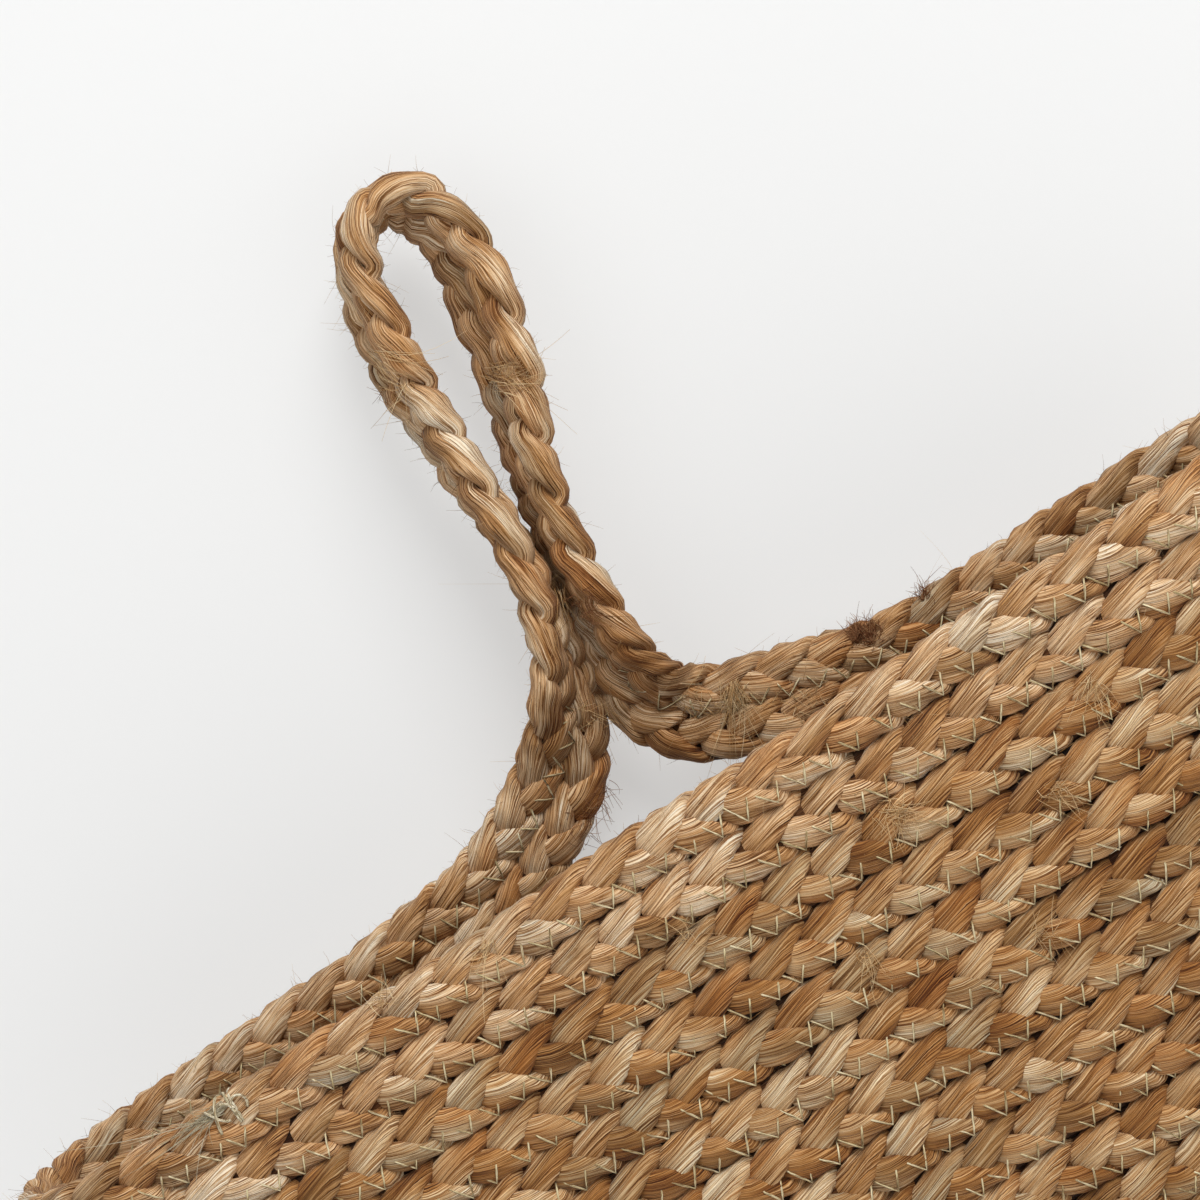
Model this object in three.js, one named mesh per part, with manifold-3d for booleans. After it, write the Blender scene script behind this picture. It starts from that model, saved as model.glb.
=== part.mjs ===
// Wall basket: an oval hanging basket of flat three-strand jute braid, coiled and sewn edge to edge.
// Its hanging loop is made of the last two turns of the coil, which rise from the back rim side by
// side, twist to stand on edge, run over the top and come down again.
// Millimetres. +Z is up, +X runs along the long side, -Y faces the room and +Y faces the wall.
// The origin lies on the surface the basket stands on, under the middle of its outline.

import * as THREE from 'three';
import { mergeVertices } from 'three/addons/utils/BufferGeometryUtils.js';
import Module from 'manifold-3d';

const wasm = await Module();
wasm.setup();

// Braid and sewing thread
const ROW_PITCH = 15;
const BRAID_THICKNESS = 10.5;
const SEAM_GAP = 0.3;
const BRAID_EDGE = 3;
const THREAD_WIDTH = 1.8;
const THREAD_DEPTH = 1.2;
const THREAD_INSET = 0.6;

// Body of the basket
const STRAIGHT_LENGTH = 310;
const WALL_TURNS = 15;
const BASE_TURNS = 3;
const END_FLATS = 6;

// Hanging loop: places along X, and heights over the rim, of its middle line
const LOOP_TURNS = 2;
const LOOP_HEIGHT = 180;
const LOOP_TOP_LEAN = 22;
const LEFT_FOOT_REACH = 66;
const RIGHT_FOOT_REACH = 54;
const NECK_HEIGHT = 58;
const NECK_SPREAD = 17;
const NECK_LEAN = 4.5;
const EYE_SPREAD = 41;
const EYE_LEAN = 17.5;
const LEFT_SHOULDER_HEIGHT = 130;
const RIGHT_SHOULDER_HEIGHT = 148;
const TWIST_START_HEIGHT = 2;
const TWIST_END_HEIGHT = 44;
const LOOP_TURN = Math.PI / 2;
const FOOT_STEPS = 14;
const LEG_STEPS = 6;
const SHOULDER_STEPS = 6;

// Shares of a stretch's length by which the middle line leaves and reaches its ends straight
const FOOT_LEAVE_SHARE = 0.36;
const FOOT_REACH_SHARE = 0.42;
const LEG_HANDLE_SHARE = 0.36;
const SHOULDER_HANDLE_SHARE = 0.52;

// Fold of the loop at its feet
const FOLD_CLEARANCE = 0.3;

// Whipping that holds the coil's tail on the front rim, set in from the straight front's end
const WHIPPING_SET_IN = 12;
const WHIPPING_WIDTH = 9;
const WHIPPING_THICKNESS = 1.4;
const WHIPPING_DROP = 9;

// One overrun for every cutting solid
const OVERRUN = 40;

// Worked out from the sizes above
const BRAID_WIDTH = ROW_PITCH - SEAM_GAP;
const HALF_WIDTH = BRAID_WIDTH / 2;
const HALF_THICKNESS = BRAID_THICKNESS / 2;
const HALF_STRAIGHT = STRAIGHT_LENGTH / 2;
const WALL_INNER_RADIUS = HALF_WIDTH + BASE_TURNS * ROW_PITCH + SEAM_GAP;
const WALL_OUTER_RADIUS = WALL_INNER_RADIUS + BRAID_THICKNESS;
const WALL_MIDDLE_RADIUS = WALL_INNER_RADIUS + HALF_THICKNESS;
const RIM_HEIGHT = WALL_TURNS * ROW_PITCH - SEAM_GAP;
const CLOSED_TURNS = WALL_TURNS - LOOP_TURNS;
const BAND_HALF_WIDTH = ROW_PITCH - SEAM_GAP / 2;
const BAND_MIDDLE_HEIGHT = RIM_HEIGHT - BAND_HALF_WIDTH;
const BRAID_OFFSET = ROW_PITCH / 2;
const FOLD_RADIUS = HALF_THICKNESS;
const FOOT_TOP_HEIGHT = RIM_HEIGHT + FOLD_CLEARANCE;
const FOLD_HEIGHT = FOOT_TOP_HEIGHT + FOLD_CLEARANCE + FOLD_RADIUS;
const LOOP_SET_FORWARD = BAND_HALF_WIDTH - HALF_THICKNESS;

// Colours of jute from pale straw to brown, and of the pale thread
const JUTE_COLOURS = ['#b98d5b', '#c09663', '#ad8250', '#c59d6c', '#b48757'];
const THREAD_COLOUR = '#c9bd94';
const JUTE_ROUGHNESS = 0.85;
const THREAD_ROUGHNESS = 0.7;

const UP = new THREE.Vector3(0, 0, 1);
const basket = new THREE.Group();

function jute(index) {
  const color = JUTE_COLOURS[index % JUTE_COLOURS.length];
  return new THREE.MeshStandardMaterial({ color, roughness: JUTE_ROUGHNESS, metalness: 0 });
}

function thread() {
  return new THREE.MeshStandardMaterial({ color: THREAD_COLOUR, roughness: THREAD_ROUGHNESS, metalness: 0 });
}

function add(name, geometry, material, height = 0) {
  const mesh = new THREE.Mesh(geometry, material);
  mesh.name = name;
  mesh.position.z = height;
  basket.add(mesh);
}

function twoDigits(number) {
  return String(number).padStart('00'.length, '0');
}

// Joining and cutting of closed solids

function welded(geometry) {
  const bare = geometry.clone();
  bare.deleteAttribute('normal');
  bare.deleteAttribute('uv');
  return mergeVertices(bare);
}

function toSolid(geometry) {
  const merged = welded(geometry);
  const vertProperties = new Float32Array(merged.attributes.position.array);
  const triVerts = new Uint32Array(merged.index.array);
  return new wasm.Manifold(new wasm.Mesh({ numProp: 3, vertProperties, triVerts }));
}

function toGeometry(solid) {
  const mesh = solid.getMesh();
  const geometry = new THREE.BufferGeometry();
  geometry.setAttribute('position', new THREE.BufferAttribute(mesh.vertProperties, mesh.numProp));
  geometry.setIndex(new THREE.BufferAttribute(mesh.triVerts, 1));
  geometry.computeVertexNormals();
  return geometry;
}

// Oval turns: a straight front and back joined by two half circles

function ovalOutline(Kind, radius) {
  const outline = new Kind();
  outline.absarc(HALF_STRAIGHT, 0, radius, -Math.PI / 2, Math.PI / 2, false);
  outline.absarc(-HALF_STRAIGHT, 0, radius, Math.PI / 2, 3 * Math.PI / 2, false);
  outline.closePath();
  return outline;
}

function ovalSolid(innerRadius, outerRadius, height, edge) {
  const shape = ovalOutline(THREE.Shape, outerRadius - edge);
  if (innerRadius > 0) {
    shape.holes.push(ovalOutline(THREE.Path, innerRadius + edge));
  }
  const geometry = new THREE.ExtrudeGeometry(shape, {
    depth: height - 2 * edge,
    bevelEnabled: edge > 0,
    bevelThickness: edge,
    bevelSize: edge,
    bevelSegments: 1,
    curveSegments: END_FLATS / 2,
  });
  geometry.translate(0, 0, edge);
  return geometry;
}

// The flat coiled base: a straight core with turns round it, and the thread in each seam below

function addBase() {
  add('base_core', ovalSolid(0, HALF_WIDTH, BRAID_THICKNESS, BRAID_EDGE), jute(0));
  for (let turn = 1; turn <= BASE_TURNS; turn += 1) {
    const innerRadius = HALF_WIDTH + SEAM_GAP + (turn - 1) * ROW_PITCH;
    const outerRadius = innerRadius + BRAID_WIDTH;
    const seamRadius = innerRadius - SEAM_GAP / 2;
    const threadInner = seamRadius - THREAD_WIDTH / 2;
    const threadOuter = seamRadius + THREAD_WIDTH / 2;
    add(`base_turn_${turn}`, ovalSolid(innerRadius, outerRadius, BRAID_THICKNESS, BRAID_EDGE), jute(turn));
    add(`base_thread_${turn}`, ovalSolid(threadInner, threadOuter, THREAD_DEPTH, 0), thread(), THREAD_INSET);
  }
}

// The wall's closed turns, standing on edge one on the other, and the thread in each seam outside

function addClosedTurns() {
  for (let turn = 1; turn <= CLOSED_TURNS; turn += 1) {
    const solid = ovalSolid(WALL_INNER_RADIUS, WALL_OUTER_RADIUS, BRAID_WIDTH, BRAID_EDGE);
    add(`wall_turn_${twoDigits(turn)}`, solid, jute(turn), (turn - 1) * ROW_PITCH);
  }
}

function seamHeight(turn) {
  return turn * ROW_PITCH - SEAM_GAP / 2 - THREAD_WIDTH / 2;
}

function seamRing() {
  const threadOuter = WALL_OUTER_RADIUS - THREAD_INSET;
  return ovalSolid(threadOuter - THREAD_DEPTH, threadOuter, THREAD_WIDTH, 0);
}

function addWallThreads() {
  for (let seam = 1; seam < CLOSED_TURNS; seam += 1) {
    add(`wall_thread_${twoDigits(seam)}`, seamRing(), thread(), seamHeight(seam));
  }
}

// The band of the last two turns: stations along its closed middle line, each with a place, the
// direction across the band's width and the direction through its thickness

function station(place, tangent, twist) {
  const across = new THREE.Vector3(-tangent.z, 0, tangent.x);
  const inward = new THREE.Vector3(0, -1, 0);
  const width = across.clone().multiplyScalar(Math.cos(twist)).addScaledVector(inward, Math.sin(twist));
  const depth = inward.clone().multiplyScalar(Math.cos(twist)).addScaledVector(across, -Math.sin(twist));
  return { place: place.clone().addScaledVector(inward, LOOP_SET_FORWARD * Math.sin(twist)), width, depth };
}

function twistAt(height) {
  return LOOP_TURN * THREE.MathUtils.smoothstep(height, TWIST_START_HEIGHT, TWIST_END_HEIGHT);
}

// A stretch of the loop between two places with their directions, in the plane of the back wall
function loopStretch(from, fromWay, to, toWay, leaveShare, reachShare, steps) {
  const span = from.distanceTo(to);
  const leave = from.clone().addScaledVector(fromWay, leaveShare * span);
  const reach = to.clone().addScaledVector(toWay, -reachShare * span);
  const curve = new THREE.CubicBezierCurve3(from, leave, reach, to);
  const stations = [];
  for (let step = 0; step < steps; step += 1) {
    const place = curve.getPoint(step / steps);
    const tangent = curve.getTangent(step / steps);
    stations.push(station(place, tangent, twistAt(place.z - RIM_HEIGHT)));
  }
  return stations;
}

function loopPlace(x, heightOverRim) {
  return new THREE.Vector3(x, WALL_MIDDLE_RADIUS, RIM_HEIGHT + heightOverRim);
}

function loopStations() {
  const right = new THREE.Vector3(1, 0, 0);
  const down = new THREE.Vector3(0, 0, -1);
  const leftFoot = loopPlace(-LEFT_FOOT_REACH, -BAND_HALF_WIDTH);
  const leftNeck = loopPlace(NECK_LEAN - NECK_SPREAD / 2, NECK_HEIGHT);
  const leftShoulder = loopPlace(EYE_LEAN - EYE_SPREAD / 2, LEFT_SHOULDER_HEIGHT);
  const top = loopPlace(LOOP_TOP_LEAN, LOOP_HEIGHT);
  const rightShoulder = loopPlace(EYE_LEAN + EYE_SPREAD / 2, RIGHT_SHOULDER_HEIGHT);
  const rightNeck = loopPlace(NECK_LEAN + NECK_SPREAD / 2, NECK_HEIGHT);
  const rightFoot = loopPlace(RIGHT_FOOT_REACH, -BAND_HALF_WIDTH);
  const leg = [LEG_HANDLE_SHARE, LEG_HANDLE_SHARE, LEG_STEPS];
  const shoulder = [SHOULDER_HANDLE_SHARE, SHOULDER_HANDLE_SHARE, SHOULDER_STEPS];
  return [
    ...loopStretch(leftFoot, right, leftNeck, UP, FOOT_LEAVE_SHARE, FOOT_REACH_SHARE, FOOT_STEPS),
    ...loopStretch(leftNeck, UP, leftShoulder, UP, ...leg),
    ...loopStretch(leftShoulder, UP, top, right, ...shoulder),
    ...loopStretch(top, right, rightShoulder, down, ...shoulder),
    ...loopStretch(rightShoulder, down, rightNeck, down, ...leg),
    ...loopStretch(rightNeck, down, rightFoot, right, FOOT_REACH_SHARE, FOOT_LEAVE_SHARE, FOOT_STEPS),
  ];
}

function endStations(centreX, startAngle) {
  const stations = [];
  for (let step = 0; step <= END_FLATS; step += 1) {
    const angle = startAngle - Math.PI * step / END_FLATS;
    const outward = new THREE.Vector3(Math.cos(angle), Math.sin(angle), 0);
    const place = new THREE.Vector3(centreX, 0, BAND_MIDDLE_HEIGHT).addScaledVector(outward, WALL_MIDDLE_RADIUS);
    const width = UP.clone();
    const depth = outward.clone().negate();
    stations.push({ place, width, depth });
  }
  return stations;
}

function bandStations() {
  const rightFoot = station(loopPlace(RIGHT_FOOT_REACH, -BAND_HALF_WIDTH), new THREE.Vector3(1, 0, 0), 0);
  return [
    ...loopStations(),
    rightFoot,
    ...endStations(HALF_STRAIGHT, Math.PI / 2),
    ...endStations(-HALF_STRAIGHT, -Math.PI / 2),
  ];
}

// A closed ring: the same section at every station, joined to the next and the last to the first.
// Each point of the section is a distance across the band's width and one through its thickness.
// The second half of the sides is split the other way, so that two braids that lie side by side
// in a twisted stretch have facing sides that bend alike.
function ringAlong(stations, section) {
  const positions = [];
  for (const { place, width, depth } of stations) {
    for (const [across, through] of section) {
      const point = place.clone().addScaledVector(width, across).addScaledVector(depth, through);
      positions.push(point.x, point.y, point.z);
    }
  }
  const sides = section.length;
  const indices = [];
  for (let ring = 0; ring < stations.length; ring += 1) {
    const next = (ring + 1) % stations.length;
    for (let side = 0; side < sides; side += 1) {
      const beside = (side + 1) % sides;
      const here = ring * sides + side;
      const hereBeside = ring * sides + beside;
      const ahead = next * sides + side;
      const aheadBeside = next * sides + beside;
      if (side < sides / 2) {
        indices.push(here, hereBeside, ahead, hereBeside, aheadBeside, ahead);
      } else {
        indices.push(here, hereBeside, aheadBeside, here, aheadBeside, ahead);
      }
    }
  }
  const geometry = new THREE.BufferGeometry();
  geometry.setAttribute('position', new THREE.Float32BufferAttribute(positions, 3));
  geometry.setIndex(indices);
  return geometry;
}

function braidSection(offset) {
  const w = HALF_WIDTH;
  const t = HALF_THICKNESS;
  const flatW = w - BRAID_EDGE;
  const flatT = t - BRAID_EDGE;
  const corners = [
    [flatW, -t], [w, -flatT], [w, flatT], [flatW, t],
    [-flatW, t], [-w, flatT], [-w, -flatT], [-flatW, -t],
  ];
  return corners.map(([across, through]) => [across + offset, through]);
}

function threadSection() {
  const outer = THREAD_INSET - HALF_THICKNESS;
  const inner = outer + THREAD_DEPTH;
  const half = THREAD_WIDTH / 2;
  return [[half, outer], [half, inner], [-half, inner], [-half, outer]];
}

// What stays below the fold, and what turns about it: a round foot, a neck and all that is above

function belowFold() {
  const size = STRAIGHT_LENGTH + 2 * WALL_OUTER_RADIUS + 2 * OVERRUN;
  const geometry = new THREE.BoxGeometry(size, size, FOOT_TOP_HEIGHT);
  geometry.translate(0, 0, FOOT_TOP_HEIGHT / 2);
  return toSolid(geometry);
}

function aboveFold() {
  const reach = LOOP_HEIGHT + OVERRUN;
  const profile = new THREE.Shape();
  profile.moveTo(-FOLD_RADIUS, 0);
  profile.absarc(0, 0, FOLD_RADIUS, Math.PI, 2 * Math.PI, false);
  profile.lineTo(FOLD_RADIUS, FOLD_RADIUS);
  profile.lineTo(reach, FOLD_RADIUS);
  profile.lineTo(reach, reach);
  profile.lineTo(-reach, reach);
  profile.lineTo(-reach, FOLD_RADIUS);
  profile.lineTo(-FOLD_RADIUS, FOLD_RADIUS);
  profile.closePath();
  const geometry = new THREE.ExtrudeGeometry(profile, {
    depth: 2 * reach,
    bevelEnabled: false,
    curveSegments: END_FLATS / 2,
  });
  geometry.translate(0, 0, -reach);
  geometry.rotateY(Math.PI / 2);
  geometry.rotateX(Math.PI / 2);
  geometry.translate(0, WALL_MIDDLE_RADIUS, FOLD_HEIGHT);
  return toSolid(geometry);
}

function addBand() {
  const stations = bandStations();
  const below = belowFold();
  const above = aboveFold();
  const upperTurn = toSolid(ringAlong(stations, braidSection(BRAID_OFFSET)));
  const lowerTurn = toSolid(ringAlong(stations, braidSection(-BRAID_OFFSET)));
  const seam = toSolid(ringAlong(stations, threadSection()));
  const upperName = `wall_turn_${twoDigits(WALL_TURNS)}`;
  const lowerName = `wall_turn_${twoDigits(WALL_TURNS - 1)}`;
  add(lowerName, toGeometry(lowerTurn.intersect(below)), jute(WALL_TURNS - 1));
  add(upperName, toGeometry(upperTurn.intersect(below)), jute(WALL_TURNS));
  add(`wall_thread_${twoDigits(WALL_TURNS - 1)}`, toGeometry(seam.intersect(below)), thread());
  add('loop_front_braid', toGeometry(upperTurn.intersect(above)), jute(1));
  add('loop_rear_braid', toGeometry(lowerTurn.intersect(above)), jute(2));
  add('loop_thread', toGeometry(seam.intersect(above)), thread());
}

// The thread that sews the band to the wall stops where the loop's feet leave the rim

function addBandSeam() {
  const ring = seamRing();
  ring.translate(0, 0, seamHeight(CLOSED_TURNS));
  const gapWidth = LEFT_FOOT_REACH + RIGHT_FOOT_REACH;
  const gap = new THREE.BoxGeometry(gapWidth, OVERRUN, OVERRUN);
  gap.translate((RIGHT_FOOT_REACH - LEFT_FOOT_REACH) / 2, WALL_OUTER_RADIUS, seamHeight(CLOSED_TURNS));
  const left = toSolid(ring).subtract(toSolid(gap));
  add(`wall_thread_${twoDigits(CLOSED_TURNS)}`, toGeometry(left), thread());
}

// The whipping: a saddle of pale yarn over the front rim, where the coil's tail ends

function addWhipping() {
  const inner = HALF_THICKNESS + SEAM_GAP;
  const outer = inner + WHIPPING_THICKNESS;
  const saddle = new THREE.Shape();
  saddle.moveTo(-outer, -WHIPPING_DROP);
  saddle.lineTo(-inner, -WHIPPING_DROP);
  saddle.lineTo(-inner, SEAM_GAP);
  saddle.lineTo(inner, SEAM_GAP);
  saddle.lineTo(inner, -WHIPPING_DROP);
  saddle.lineTo(outer, -WHIPPING_DROP);
  saddle.lineTo(outer, SEAM_GAP);
  saddle.lineTo(inner, SEAM_GAP + WHIPPING_THICKNESS);
  saddle.lineTo(-inner, SEAM_GAP + WHIPPING_THICKNESS);
  saddle.lineTo(-outer, SEAM_GAP);
  saddle.closePath();
  const geometry = new THREE.ExtrudeGeometry(saddle, { depth: WHIPPING_WIDTH, bevelEnabled: false });
  geometry.translate(0, 0, -WHIPPING_WIDTH / 2);
  geometry.rotateX(Math.PI / 2);
  geometry.rotateZ(Math.PI / 2);
  geometry.translate(WHIPPING_SET_IN - HALF_STRAIGHT, -WALL_MIDDLE_RADIUS, RIM_HEIGHT);
  add('tail_whipping', geometry, thread());
}

addBase();
addClosedTurns();
addWallThreads();
addBandSeam();
addBand();
addWhipping();

export default basket;
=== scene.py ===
"""Looks of an oval wall basket of flat jute braid, coiled on edge and sewn edge to edge.

Metres. +X runs along the long side, +Y points to the wall and +Z is up. Each braid is three flat
strands that pass over and under each other. A strand is worked out in the braid's own straight
space, as a distance along it, a distance across its width and one through its thickness, and then
laid along a route round the basket. The last two turns leave the back rim as the hanging loop.
"""

import logging
import math
from dataclasses import dataclass, replace
from enum import Enum
from typing import Sequence

import bpy
import numpy as np
from mathutils import Matrix, Vector


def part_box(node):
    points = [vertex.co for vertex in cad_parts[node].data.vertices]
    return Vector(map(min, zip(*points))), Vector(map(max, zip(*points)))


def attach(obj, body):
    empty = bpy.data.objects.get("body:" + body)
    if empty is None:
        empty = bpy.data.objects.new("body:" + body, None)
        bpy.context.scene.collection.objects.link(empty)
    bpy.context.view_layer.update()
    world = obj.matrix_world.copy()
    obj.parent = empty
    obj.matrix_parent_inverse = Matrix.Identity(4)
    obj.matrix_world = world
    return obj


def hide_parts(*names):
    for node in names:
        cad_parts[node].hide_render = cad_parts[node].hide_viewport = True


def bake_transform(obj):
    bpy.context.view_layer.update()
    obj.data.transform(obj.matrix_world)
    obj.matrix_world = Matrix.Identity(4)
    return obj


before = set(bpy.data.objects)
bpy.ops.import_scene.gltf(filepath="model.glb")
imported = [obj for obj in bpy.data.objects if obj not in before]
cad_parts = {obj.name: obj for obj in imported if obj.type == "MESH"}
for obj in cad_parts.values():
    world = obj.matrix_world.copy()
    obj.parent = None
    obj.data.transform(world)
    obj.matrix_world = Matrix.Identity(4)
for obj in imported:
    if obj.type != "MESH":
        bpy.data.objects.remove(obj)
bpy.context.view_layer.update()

MM = 0.001
TURN = 2.0 * math.pi
# A tube whose middle line climbs more than this share of its length counts as running mostly up.
STEEP = 0.8
LOG = logging.getLogger("wall_basket")

Array = np.ndarray
Socket = bpy.types.NodeSocket
Stops = tuple[tuple[float, tuple[float, float, float]], ...]

# Lanes of the UV map: how far apart those of strands, braids and short tubes start, and where those of
# the base and of the cores begin.
STRAND_LANE = 7.0
BRAID_LANE = 40.0
FIBRE_LANE = 1.7
STITCH_LANE = 1.3
BASE_LANES_FROM = 900.0
UPPER_HEART_LANE = 41.0
LOWER_HEART_LANE = 83.0
CORE_FILLING_LANE = 11.0


class Face(Enum):
    """The two faces of a braid: the side that its route's through direction leaves, and the other."""

    OUTER = -1.0
    INNER = 1.0


class Slot(Enum):
    """The record's material slots."""

    BRAID = "jute_braid"
    THREAD = "sewing_thread"
    YARN = "whipping_yarn"


def unit(vectors: Array) -> Array:
    """Scale vectors, whose last axis holds x, y and z, to length one."""
    return vectors / np.linalg.norm(vectors, axis=-1, keepdims=True)


def smoothstep(value: Array, low: float, high: float) -> Array:
    """Rise from 0 at low to 1 at high, as 3t^2 - 2t^3."""
    share = np.clip((value - low) / (high - low), 0.0, 1.0)
    return share * share * (3.0 - 2.0 * share)


def linear(code: str) -> tuple[float, float, float, float]:
    """Turn a colour written as six hexadecimal digits into scene-linear red, green, blue and one.

    Args:
        code: the colour as it looks, such as "#b98d5b".

    Returns:
        The colour for a shader socket.
    """
    parts = [int(code[start:start + 2], 16) / 255.0 for start in (1, 3, 5)]
    red, green, blue = [p / 12.92 if p <= 0.04045 else ((p + 0.055) / 1.055) ** 2.4 for p in parts]
    return red, green, blue, 1.0


@dataclass(frozen=True)
class Wander:
    """A smooth random curve along a braid that meets itself after the braid's whole length.

    It is a sum of sines: each has a whole number of waves in the length, a random phase and a random
    size, and the sum is scaled to the given spread.
    """

    length: float
    shortest_wave: float
    spread: float

    def curve(self, rng: np.random.Generator, distance: Array) -> Array:
        """Work the curve out at some distances.

        Args:
            rng: the source of the phases and sizes.
            distance: distances along the braid.

        Returns:
            One value for each distance, with the wanted spread.
        """
        count = max(3, int(self.length / self.shortest_wave))
        waves = np.arange(1, count + 1)
        phases = rng.uniform(0.0, TURN, count)
        sizes = rng.normal(0.0, 1.0, count)
        sizes *= self.spread / np.sqrt(0.5 * np.sum(sizes ** 2))
        angles = TURN * np.multiply.outer(distance / self.length, waves) + phases
        return np.sin(angles) @ sizes


@dataclass(frozen=True)
class Route:
    """A closed or open middle line for a braid.

    place holds points, across the direction over the braid's width and through the direction through
    its thickness, from the outer face to the inner one. A closed route's last point meets its first.
    slack is 0 where sewing packs the braid tight. Where it hangs free, slack is 1 while the route falls
    and -1 while it climbs.
    """

    place: Array
    across: Array
    through: Array
    closed: bool = True
    slack: Array | None = None

    def distances(self) -> Array:
        """Add up the straight steps between the points; the first entry is zero."""
        steps = np.linalg.norm(np.diff(self.place, axis=0), axis=1)
        return np.concatenate([[0.0], np.cumsum(steps)])

    def length(self) -> float:
        """Measure the whole route."""
        return float(self.distances()[-1])

    def carry(self, along: Array, across: Array, through: Array) -> Array:
        """Lay points of the braid's straight space along the route.

        A point is the route's place at its distance, plus its offsets times the two directions there.

        Args:
            along: distances along the braid.
            across: offsets over its width.
            through: offsets through its thickness.

        Returns:
            Points in the basket's frame, with a last axis of three.
        """
        known = self.distances()
        at = np.mod(along, known[-1]) if self.closed else along
        fields = np.concatenate([self.place, self.across, self.through], axis=1)
        values = np.stack([np.interp(at, known, column) for column in fields.T], axis=-1)
        return values[..., 0:3] + across[..., None] * values[..., 3:6] + through[..., None] * values[..., 6:9]

    def beside(self, offset: float | Array) -> "Route":
        """Make the route of a braid beside this one, by an offset over the width, or one for each point."""
        shift = np.broadcast_to(offset, len(self.place))[:, None] * self.across
        return Route(self.place + shift, self.across, self.through, self.closed, self.slack)

    def slack_at(self, along: Array) -> Array:
        """Read the slack; a route without any is sewn tight all round.

        Args:
            along: distances along the braid.

        Returns:
            The slack at each.
        """
        if self.slack is None:
            return np.zeros_like(along)
        return np.interp(along, self.distances(), self.slack)


@dataclass(frozen=True)
class Oval:
    """The basket's plan: two straight sides joined by half circles."""

    half_straight: float
    radius: float
    step: float = 1.5 * MM

    def knots(self) -> Array:
        """List where straight and round stretches meet.

        Returns:
            The distances along the oval, from the back's left end.
        """
        straight = 2.0 * self.half_straight
        round_end = math.pi * self.radius
        return np.cumsum([0.0, straight, round_end, straight, round_end])

    def outward(self, start: float, stop: float) -> tuple[Array, Array]:
        """Follow the oval clockwise, seen from above.

        The middle of the turning circle slides along X on the straights, and the outward direction
        turns by half a circle round each end: both run evenly between the knots.

        Args:
            start: the first distance, from the left end of the straight back.
            stop: the last distance.

        Returns:
            The turning circle's middles and the outward directions, each with x, y and z.
        """
        count = max(2, int(math.ceil((stop - start) / self.step)) + 1)
        distance = np.linspace(start, stop, count)
        knots = self.knots()
        h = self.half_straight
        middle_x = np.interp(distance, knots, [-h, h, h, -h, -h])
        angle = math.pi * np.interp(distance, knots, [0.5, 0.5, -0.5, -0.5, -1.5])
        middle = np.stack([middle_x, np.zeros(count), np.zeros(count)], axis=-1)
        direction = np.stack([np.cos(angle), np.sin(angle), np.zeros(count)], axis=-1)
        return middle, direction

    def wall_route(self, height: float, start: float = 0.0, stop: float | None = None) -> Route:
        """Stand a braid on edge along the oval.

        Args:
            height: the height of its middle.
            start: the first distance.
            stop: the last distance, or None for the whole oval.

        Returns:
            The route, with its width upright and its outer face outwards.
        """
        middle, direction = self.outward(start, self.knots()[-1] if stop is None else stop)
        place = middle + self.radius * direction
        place[:, 2] = height
        up = np.broadcast_to([0.0, 0.0, 1.0], place.shape).copy()
        return Route(place, up, -direction, stop is None)

    def flat_route(self, height: float) -> Route:
        """Lay a braid flat along the oval.

        Args:
            height: the height of its middle.

        Returns:
            The route, with its width outwards and its outer face down.
        """
        middle, direction = self.outward(0.0, self.knots()[-1])
        place = middle + self.radius * direction
        place[:, 2] = height
        up = np.broadcast_to([0.0, 0.0, 1.0], place.shape).copy()
        return Route(place, direction, up)


@dataclass(frozen=True)
class Handwork:
    """How unevenly a braid is plaited: the shortest wave and the spread of each slow change.

    strand_spreads are those of each strand's reach, lift, width and thickness, as shares of them.
    """

    pace: tuple[float, float] = (60.0 * MM, 0.16)
    sway: tuple[float, float] = (80.0 * MM, 0.22 * MM)
    bulge: tuple[float, float] = (70.0 * MM, 0.28 * MM)
    ridge_slide: tuple[float, float] = (90.0 * MM, 1.2)
    strand: tuple[float, float] = (26.0 * MM, 1.0)
    strand_spreads: tuple[float, ...] = (0.035, 0.07, 0.07, 0.07)


@dataclass(frozen=True)
class BraidShape:
    """The size of a flat three-strand braid and of its strands, and of the packed fibre inside it."""

    period: float = 48.5 * MM
    edge_reach: float = 4.7 * MM
    face_reach: float = 2.6 * MM
    half_width: float = 4.35 * MM
    half_width_middle: float = 0.55 * MM
    half_width_edge: float = 0.65 * MM
    half_thickness: float = 2.45 * MM
    half_thickness_edge: float = 0.5 * MM
    crossing: float = 0.2
    crossing_peak: float = 0.3
    slack_slant: tuple[float, float] = (0.34, 0.1)
    slack_droop: float = 0.22
    slack_peak: float = 1.165
    slack_reach: float = 0.16
    egg: float = 0.1
    turn_sharpness: float = 1.2
    corner_power: float = 2.25
    ridge_share: float = 0.016
    slack_pace: float = -0.11
    slack_thickness: float = 0.28
    slack_least: float = 0.1
    heart_half_width: float = 4.2 * MM
    heart_half_thickness: float = 2.3 * MM
    heart_step: float = 4.0 * MM
    heart_sides: int = 12
    long_heart_step: float = 5.0 * MM
    long_heart_sides: int = 10
    seam_half_width: float = 7.5 * MM
    seam_half_thickness: float = 1.8 * MM
    ridge_counts: tuple[int, ...] = (4, 7, 10)
    sides: int = 24
    rings_per_period: int = 24
    strands: int = 3
    hand: Handwork = Handwork()


@dataclass
class Lay:
    """A braid worked out in its own straight space: arrays over strand, ring and side."""

    along: Array
    across: Array
    through: Array
    length: float


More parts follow.
